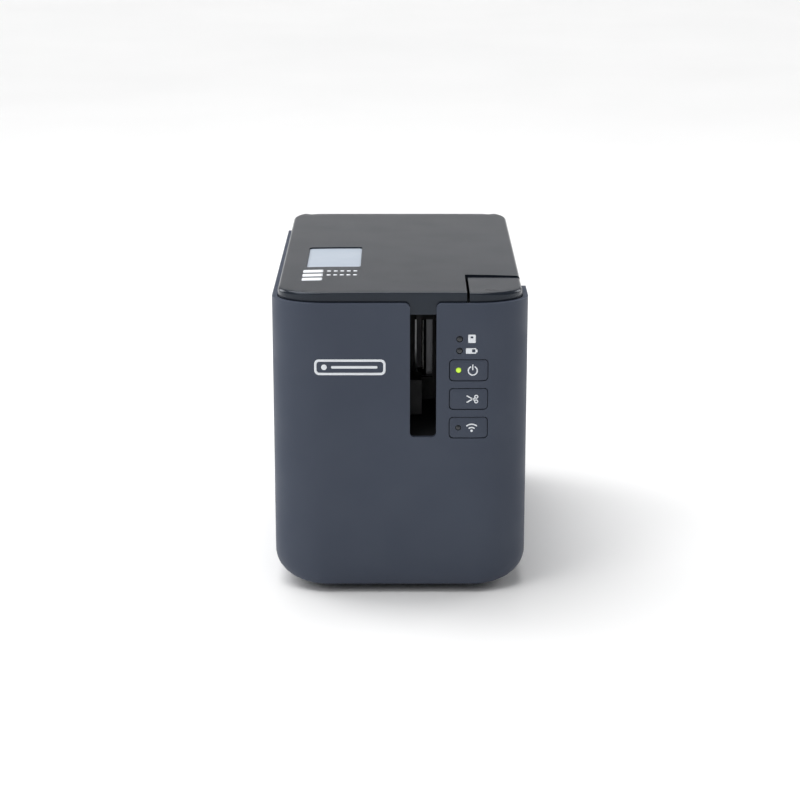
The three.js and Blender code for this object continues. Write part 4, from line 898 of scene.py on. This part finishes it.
    def build(self) -> None:
        """Makes the lid's shell, its two hinge lugs, the window and the printed marks."""
        half = OUTLINE.half_run
        along = self.wrap(OUTLINE.run_at_side(self.notch_y), 2 * half + self.notch_x)
        place = OUTLINE.at(along, self.inset)
        left_end, right_end = self.high_rim_ends
        raised = (place[:, 0] < 0) & (place[:, 1] < left_end) | (place[:, 1] < right_end)
        bottom = np.where(raised, self.high_skirt, self.low_skirt)
        x0, x1, y0, y1 = self.window
        opening = rounded_rect(x0, x1, y0, y1, self.window_radius)
        corner = np.array([[self.notch_x, self.notch_y]])
        part = self.notched(self.capped(along, bottom, corner, [opening]))
        made = part.mesh("lid_shell", weld=0.02)
        thicken(made, self.wall)
        soften(made, self.edge)
        self.palette.dress(made, Slot.LID, "lid_group")
        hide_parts("lid")
        self.lug("lid_lug_left", -35.4)
        self.lug("lid_lug_right", 30.0)
        self.pane()
        self.marks()

    def pane(self) -> None:
        """Window pane: a pale plug in the opening and a wider flange under the lid's wall."""
        x0, x1, y0, y1 = self.window
        for name, grow, depth, thickness in (
            ("window_plug", -0.08, self.recess, self.wall - self.recess + 0.1),
            ("window_flange", 1.5, self.wall + 0.05, 1.2),
        ):
            outer = rounded_rect(x0 - grow, x1 + grow, y0 - grow, y1 + grow, self.window_radius + grow)
            points, faces = flat_sheet(outer, [], 2.5)
            made = Part().add(np.column_stack([points, self.surface(points) - depth]), faces).mesh(name)
            thicken(made, thickness)
            soften(made, 0.25)
            self.palette.dress(made, Slot.WINDOW, "lid_group")
            if name == "window_plug":
                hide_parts("lid_window")

    def marks(self) -> None:
        """Plain printed bars and dots in front of the window."""
        part = Part()
        bars = [rounded_rect(-45.7, -36.2, y, y + 5.6, 0.8, 4) for y in (-52.6, -60.6, -68.6)]
        dots = [
            rounded_rect(x, x + 1.9, y + 1.6, y + 3.8, 0.5, 3)
            for x in np.arange(-34.4, -21, 3.1) for y in (-52.6, -60.6)
        ]
        for outer in bars + dots:
            points, faces = flat_sheet(outer, [], 1.5)
            part.add(np.column_stack([points, self.surface(points) + 0.02]), faces)
        made = part.mesh("lid_marks")
        thicken(made, PRINT_THICK, even=False)
        dress(made, "lid_group", self.palette.print_white)

    def lug(self, name: str, x: float) -> None:
        """Hinge lug: a plate with a round eye about the pin.

        Args:
            name: Name of the piece.
            x: Its left face.
        """
        eye = arc((self.hinge_y, self.hinge_z), 4.5, 180, 360, 25)
        top = self.top - self.wall - 0.2
        outer = np.vstack([eye, [[self.hinge_y + 4.5, top], [self.hinge_y - 4.5, top]]])
        points, faces = flat_sheet(outer, [circle((self.hinge_y, self.hinge_z), 2.3, 24)], 2.5)
        plate = np.column_stack([np.full(len(points), x + 5.4), points])
        made = Part().add(plate, faces).mesh(name)
        thicken(made, 5.4)
        soften(made, self.edge)
        self.palette.dress(made, Slot.LID, "lid_group")


@dataclass
class ReleaseButton:
    """Corner button that frees the lid: a cap like the lid's corner, two posts and a pusher."""

    palette: Palette
    lid: Lid
    top: float = 143.35
    crown: float = 0.4
    left: float = 31.65
    rear: float = -58.65
    skirt: float = 136.2
    posts: tuple[tuple[float, float], ...] = ((48.5, -80.0), (36.5, -63.0))
    post_radius: float = 1.8
    post_bottom: float = 126.5
    mark: tuple[float, float, float, float] = (38.6, 44.4, -86.7, -85.3)

    def build(self) -> None:
        """Makes the cap, its posts, its pusher and the printed dash."""
        end = OUTLINE.run_at_side(self.rear)
        along = np.linspace(self.left, end, 34)
        corner = np.array([[self.left, self.rear]])
        shape = replace(self.lid, top=self.top, front_top=self.top, crown=self.crown)
        part = shape.capped(along, np.full(len(along), self.skirt), corner, [])
        made = part.mesh("release_cap", weld=0.02)
        thicken(made, self.lid.wall)
        soften(made, 0.4)
        self.palette.dress(made, Slot.LID, "release")
        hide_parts("release_button")
        for number, (x, y) in enumerate(self.posts, 1):
            self.post(f"release_post_{number}", x, y)
        self.pusher()
        x0, x1, y0, y1 = self.mark
        points, faces = flat_sheet(rounded_rect(x0, x1, y0, y1, 0.6, 6), [], 1.0)
        dash = np.column_stack([points, shape.surface(points) + 0.02])
        mark = Part().add(dash, faces).mesh("release_dash")
        thicken(mark, PRINT_THICK, even=False)
        dress(mark, "release", self.palette.print_dark)

    def post(self, name: str, x: float, y: float) -> None:
        """Guide post under the cap: a turned profile with a rounded tip.

        The radius follows the profile and the angle runs round: x plus radius times cosine, y plus
        radius times sine.
        """
        top = self.top - self.lid.wall + 0.3
        r = self.post_radius
        profile = np.array([
            [0, top], [r + 0.6, top], [r + 0.5, top - 0.6], [r, top - 1.4], [r, self.post_bottom + 0.8],
            [r - 0.3, self.post_bottom + 0.25], [r - 0.8, self.post_bottom], [0, self.post_bottom],
        ])
        made = lathe(profile, (x, y), 24).mesh(name, weld=0.001)
        self.palette.dress(made, Slot.LID, "release")

    def pusher(self) -> None:
        """Flat pusher over the latch's arm."""
        outer = rounded_rect(37.5, 41.5, 134.5, self.top - self.lid.wall + 0.3, 0.4, 4)
        points, faces = flat_sheet(outer, [], 1.5)
        plate = np.column_stack([points[:, 0], np.full(len(points), -69.5), points[:, 1]])
        made = Part().add(plate, faces).mesh("release_pusher")
        thicken(made, 2.5)
        soften(made, 0.25)
        self.palette.dress(made, Slot.LID, "release")


@dataclass
class ReleaseSpring:
    """Coil spring round the first post, from its seat in the case to the underside of the cap."""

    palette: Palette
    button: ReleaseButton
    bottom: float = 130.31
    coil_radius: float = 3.0
    wire_radius: float = 0.36
    turns: float = 6.0
    closed_turns: float = 0.8
    cap_gap: float = 0.02
    columns: int = 12
    rows_a_turn: int = 28

    def build(self) -> None:
        """Makes the coil.

        The wire's middle is a helix whose height stays level over the closed turns at each end; a
        point of the wire is that middle plus the wire's radius times the cosine along the outward
        direction and the sine along the direction across it.
        """
        x, y = self.button.posts[0]
        under = self.button.top - self.button.crown - self.button.lid.wall - self.cap_gap
        low, high = self.bottom + self.wire_radius, under - self.wire_radius
        turn = np.linspace(0, self.turns, int(self.turns * self.rows_a_turn) + 1)
        share = (turn - self.closed_turns) / (self.turns - 2 * self.closed_turns)
        angle = 2 * np.pi * turn
        out = np.column_stack([np.cos(angle), np.sin(angle), np.zeros_like(angle)])
        height = low + (high - low) * np.clip(share, 0, 1)
        middle = np.array([x, y, 0]) + self.coil_radius * out + height[:, None] * [0, 0, 1]
        along = np.gradient(middle, axis=0)
        along /= np.linalg.norm(along, axis=1, keepdims=True)
        across = np.cross(along, out)
        around = np.linspace(0, 2 * np.pi, self.columns, endpoint=False)
        ring = np.cos(around)[:, None] * out[:, None] + np.sin(around)[:, None] * across[:, None]
        points = (middle[:, None] + self.wire_radius * ring).reshape(-1, 3)
        part = Part().add(points, grid_faces(len(turn), self.columns, closed=True))
        ends = np.arange(self.columns)
        part.faces += [ends[::-1].tolist(), (ends + len(points) - self.columns).tolist()]
        made = part.mesh("release_coil")
        made.data.materials.append(self.palette.by_slot[Slot.STEEL])
        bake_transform(made)
        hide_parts("release_spring")
        log.info("piece %s bends between case and release", made.name)


def lathe(profile: Array, centre: tuple[float, float], count: int) -> Part:
    """Upright turned solid.

    Args:
        profile: Radius and height from the top of the axis, outside, to the bottom of the axis.
        centre: Plan place of the axis.
        count: Points round the axis.

    Returns:
        A part whose point at profile row i and angle a is centre plus radius times cosine and sine.
    """
    angle = np.linspace(0, 2 * np.pi, count, endpoint=False)
    radius, height = profile[:, :1], profile[:, 1:]
    x = centre[0] + radius * np.cos(angle)
    y = centre[1] + radius * np.sin(angle)
    z = np.broadcast_to(height, x.shape)
    points = np.stack([x, y, z], axis=-1).reshape(-1, 3)
    return Part().add(points, grid_faces(len(profile), count, closed=True)[:, ::-1])


# ---- Front buttons, lamps and signs --------------------------------------------------------------


class Sign(Enum):
    """Generic signs printed on the front."""

    POWER = "power"
    CUTTER = "cutter"
    WIRELESS = "wireless"
    TAPE = "tape"
    BATTERY = "battery"
    LABEL = "label"


@dataclass
class FrontPanel:
    """Push buttons, lamp lenses and printed signs on the front cover."""

    palette: Palette
    centre: float = 31.4
    width: float = 17.3
    height: float = 9.6
    radius: float = 1.7
    cap_depth: float = 4.2
    flange_reach: float = 1.3
    flange_from: float = 3.7
    flange_thick: float = 1.2
    lens_x: float = 26.7
    lens_radius: float = 1.2
    lamp_x: float = 27.1
    lamp_radius: float = 1.4
    dome: float = 0.28
    lens_front: float = -95.95
    key_lens_back: float = -92.9
    case_lens_back: float = -89.6
    lens_dome: float = 0.45

    def build(self) -> None:
        """Makes the buttons, the lenses and the signs."""
        self.button("power_button", "power_key", 107.9, True)
        self.button("cutter_button", "cutter_key", 94.35, False)
        self.button("wireless_button", "wireless_key", 80.65, True)
        self.lens("power_lens", "power_key", (self.lens_x, 107.9), self.lens_radius, Slot.LIT_LAMP)
        self.lens("wireless_lens", "wireless_key", (self.lens_x, 80.65), self.lens_radius, Slot.CLEAR_LAMP)
        self.lens("tape_lens", "case", (self.lamp_x, 122.6), self.lamp_radius, Slot.CLEAR_LAMP)
        self.lens("battery_lens", "case", (self.lamp_x, 117.1), self.lamp_radius, Slot.CLEAR_LAMP)
        self.sign(Sign.POWER, (33.2, 107.9), "power_key")
        self.sign(Sign.CUTTER, (33.1, 94.35), "cutter_key")
        self.sign(Sign.WIRELESS, (32.9, 80.65), "wireless_key")
        self.sign(Sign.TAPE, (32.7, 122.8), "case")
        self.sign(Sign.BATTERY, (32.6, 117.1), "case")
        self.sign(Sign.LABEL, (-22.85, 109.4), "case")

    def button(self, node: str, body: str, z: float, lamp: bool) -> None:
        """Push button: a domed cap and its flange behind the cover.

        Args:
            node: CAD node that it stands for.
            body: CAD body that it moves with.
            z: Height of its middle.
            lamp: Whether it has a hole for a lens.
        """
        x0, x1 = self.centre - self.width / 2, self.centre + self.width / 2
        z0, z1 = z - self.height / 2, z + self.height / 2
        hole = [circle((self.lens_x, z), self.lens_radius + 0.15, 28)] if lamp else []
        points, faces = flat_sheet(rounded_rect(x0, x1, z0, z1, self.radius), hole, 1.2)
        across = (points[:, 0] - self.centre) / (self.width / 2)
        up = (points[:, 1] - z) / (self.height / 2)
        dome = self.dome * np.maximum(np.abs(across) ** 4, np.abs(up) ** 3)
        cap = OUTLINE.wall(points, FRONT_SKIN)
        cap[:, 1] += dome
        made = Part().add(cap, faces).mesh(f"{node}_cap")
        thicken(made, self.cap_depth - 0.3)
        soften(made, 0.35, 3)
        self.palette.dress(made, Slot.CASE, body)
        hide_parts(node)
        reach = self.flange_reach
        outer = rounded_rect(x0 - reach - 0.5, x1 + reach + 0.5, z0 - reach, z1 + reach, 1.0, 4)
        hole = [circle((self.lens_x, z), self.lens_radius + 0.15, 20)] if lamp else []
        points, faces = flat_sheet(outer, hole, 3.0)
        depth = np.full(len(points), -OUTLINE.half_depth + self.flange_from)
        flange = Part().add(np.column_stack([points[:, 0], depth, points[:, 1]]), faces)
        made = flange.mesh(f"{node}_flange")
        thicken(made, self.flange_thick)
        soften(made, 0.2)
        self.palette.dress(made, Slot.CASE, body)

    def lens(self, node: str, body: str, place: tuple[float, float], radius: float, slot: Slot) -> None:
        """Domed lamp lens on a rod.

        Args:
            node: CAD node that it stands for.
            body: CAD body that it moves with.
            place: Its X and Z.
            radius: Its radius.
            slot: Slot of its finish.
        """
        front, back = self.lens_front, self.case_lens_back if body == "case" else self.key_lens_back
        turn = np.radians(np.linspace(0, 90, 7))
        dome = np.column_stack([radius * np.sin(turn), front + self.lens_dome * (1 - np.cos(turn))])
        profile = np.vstack([dome, [[radius, back], [0, back]]])
        angle = np.linspace(0, 2 * np.pi, 28, endpoint=False)
        x = place[0] + profile[:, :1] * np.cos(angle)
        z = place[1] + profile[:, :1] * np.sin(angle)
        y = np.broadcast_to(profile[:, 1:], x.shape)
        points = np.stack([x, y, z], axis=-1).reshape(-1, 3)
        faces = grid_faces(len(profile), 28, closed=True)[:, ::-1]
        made = Part().add(points, faces).mesh(f"{node}_dome", weld=0.001)
        self.palette.dress(made, slot, body)
        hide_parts(node)

    def sign(self, sign: Sign, place: tuple[float, float], body: str) -> None:
        """Prints a sign: thin raised shapes on the surface.

        Args:
            sign: Which sign.
            place: X and Z of its middle.
            body: CAD body that it moves with.
        """
        part = Part()
        for outer, holes in self.shapes(sign):
            points, faces = flat_sheet(outer, holes, 0.5)
            part.add(OUTLINE.wall(points + place, PRINT_SKIN), faces)
        made = part.mesh(f"{sign.value}_sign")
        thicken(made, PRINT_THICK, even=False)
        dress(made, body, self.palette.print_white)

    def shapes(self, sign: Sign) -> list[tuple[Array, list[Array]]]:
        """Outlines and holes of a sign about its middle."""
        if sign is Sign.POWER:
            ring = thick_line(arc((0, -0.1), 2.05, 112, 428, 34), 0.6)
            return [(ring, []), (rounded_rect(-0.28, 0.28, 0.1, 2.85, 0.2, 4), [])]
        if sign is Sign.CUTTER:
            rings = [(circle((1.8, z), 0.95, 20), [circle((1.8, z), 0.45, 16)]) for z in (-1.1, 1.1)]
            blades = [
                (thick_line(np.linspace((1.2, -side * 0.6), (-2.6, side * 1.6), 5), 0.6), [])
                for side in (-1, 1)
            ]
            return rings + blades
        if sign is Sign.WIRELESS:
            waves = [(thick_line(arc((0, -1.9), r, 48, 132, 16), 0.62), []) for r in (2.05, 3.6)]
            return [(rounded_rect(-0.55, 0.55, -1.95, -0.85, 0.4, 4), []), *waves]
        if sign is Sign.TAPE:
            opening = rounded_rect(-0.6, 0.6, 0.2, 1.1, 0.2, 3)
            return [(rounded_rect(-1.75, 1.75, -1.95, 1.95, 0.5, 4), [opening])]
        if sign is Sign.BATTERY:
            cell = rounded_rect(0.2, 1.7, -0.7, 0.8, 0.3, 3)
            return [(rounded_rect(-2.6, 2.1, -1.3, 1.3, 0.3, 4), [cell]),
                    (rounded_rect(2.05, 2.7, -0.7, 0.7, 0.25, 3), [])]
        tag = rounded_rect(-16.3, 16.3, -3.7, 3.7, 2.2)
        return [
            (tag, [rounded_rect(-15.2, 15.2, -2.6, 2.6, 1.3)]),
            (circle((-11.8, 0), 1.3, 24), []), (rounded_rect(-8.6, 12.6, -0.6, 0.6, 0.5, 6), []),
        ]


# ---- Base ----------------------------------------------------------------------------------------


@dataclass
class Base:
    """Rubber feet."""

    palette: Palette
    foot_places: tuple[tuple[float, float], ...] = ((-33, -46), (-33, 66), (33, -46), (33, 66))
    foot_radius: float = 5.7
    foot_top: float = 3.8

    def build(self) -> None:
        """Makes the feet."""
        for number, place in enumerate(self.foot_places, 1):
            self.foot(number, place)

    def foot(self, number: int, place: tuple[float, float]) -> None:
        """One foot: a turned pad with a rounded rim and a dished underside."""
        r, top = self.foot_radius, self.foot_top
        rim = np.radians(np.linspace(0, 90, 5))
        profile = np.vstack([
            [[0, top], [r - 0.2, top], [r, top - 0.3]],
            np.column_stack([r - 0.8 + 0.8 * np.cos(rim), 0.8 - 0.8 * np.sin(rim)]),
            [[r - 2.2, 0.0], [r - 2.6, 0.25], [0, 0.3]],
        ])
        made = lathe(profile, place, 40).mesh(f"foot_{number}_pad", weld=0.001)
        self.palette.dress(made, Slot.RUBBER, "case")
        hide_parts(f"foot_{number}")


# ---- Studio --------------------------------------------------------------------------------------


@dataclass
class Studio:
    """Pale floor, soft lights and the camera."""

    aim: tuple[float, float, float] = (0.0, 0.0, 73.0)
    elevation: float = 15.5
    distance: float = 1057.0
    focal: float = 94.3
    rise: float = -0.015

    def build(self) -> None:
        """Makes the floor, the world, the lights and the camera."""
        self.floor()
        self.world()
        self.sun("overhead", (-250, 150, 1000), 2.6, 55)
        self.light("key", (-1000, -900, 900), 700, 4)
        self.light("edge_left", (-900, 500, 500), 600, 4)
        self.light("edge_right", (900, 500, 500), 600, 3)
        self.camera()
        bpy.context.scene.view_settings.view_transform = "Standard"

    def floor(self) -> None:
        """Floor that curves up into a backdrop: a profile in Y and Z carried along X."""
        turn = np.radians(np.linspace(-90, 0, 17))
        rise = np.column_stack([7000 + 1500 * np.cos(turn), 1500 + 1500 * np.sin(turn)])
        profile = np.vstack([[[-8500, 0], [-800, 0], [800, 0]], rise, [[8500, 6000]]])
        across = np.linspace(-8500, 8500, 5)
        x, row = np.meshgrid(across, np.arange(len(profile)))
        points = np.stack([x, profile[row, 0], profile[row, 1]], axis=-1).reshape(-1, 3)
        made = Part().add(points, grid_faces(len(profile), len(across))).mesh("table")
        made.data.materials.append(paint("table_white", TABLE))

    def world(self) -> None:
        """Even pale light from all round."""
        world = bpy.data.worlds.new("studio")
        world.use_nodes = True
        world.node_tree.nodes["Background"].inputs["Color"].default_value = (1, 1, 1, 1)
        world.node_tree.nodes["Background"].inputs["Strength"].default_value = 0.25
        bpy.context.scene.world = world

    def sun(self, name: str, place: tuple[float, float, float], power: float, spread: float) -> None:
        """Broad even light from far away.

        Args:
            name: Name of the light.
            place: A point that it shines from, seen from the origin.
            power: Its power in watts on a square metre.
            spread: Angle that its disc spans, in degrees.
        """
        lamp = bpy.data.lights.new(name, "SUN")
        lamp.energy = power
        lamp.angle = math.radians(spread)
        made = bpy.data.objects.new(name, lamp)
        made.rotation_euler = (-Vector(place)).to_track_quat("-Z", "Y").to_euler()
        bpy.context.scene.collection.objects.link(made)

    def light(self, name: str, place: tuple[float, float, float], size: float, power: float) -> None:
        """Square area light that faces the object.

        Args:
            name: Name of the light.
            place: Its place in millimetres.
            size: Its edge in millimetres.
            power: Its power in watts.
        """
        lamp = bpy.data.lights.new(name, "AREA")
        lamp.size = size * MM
        lamp.energy = power
        made = bpy.data.objects.new(name, lamp)
        made.location = Vector(place) * MM
        made.rotation_euler = (Vector(self.aim) - Vector(place)).to_track_quat("-Z", "Y").to_euler()
        bpy.context.scene.collection.objects.link(made)

    def camera(self) -> None:
        """Camera in front of the object, raised by the elevation."""
        tilt = math.radians(self.elevation)
        lens = bpy.data.cameras.new("camera")
        lens.lens = self.focal
        lens.sensor_width = 36
        lens.shift_y = self.rise
        made = bpy.data.objects.new("camera", lens)
        back = Vector((0, -math.cos(tilt), math.sin(tilt))) * self.distance
        made.location = (Vector(self.aim) + back) * MM
        made.rotation_euler = (-back).to_track_quat("-Z", "Y").to_euler()
        bpy.context.scene.collection.objects.link(made)
        bpy.context.scene.camera = made


def main() -> None:
    """Builds the classes in order."""
    logging.basicConfig(level=logging.INFO, format="%(name)s: %(message)s")
    studio = Studio()
    studio.build()
    palette = Palette().build()
    palette.dress_frame()
    CaseCovers(palette).build()
    lid = Lid(palette)
    lid.build()
    button = ReleaseButton(palette, lid)
    button.build()
    ReleaseSpring(palette, button).build()
    FrontPanel(palette).build()
    Base(palette).build()


if __name__ == "__main__":
    main()
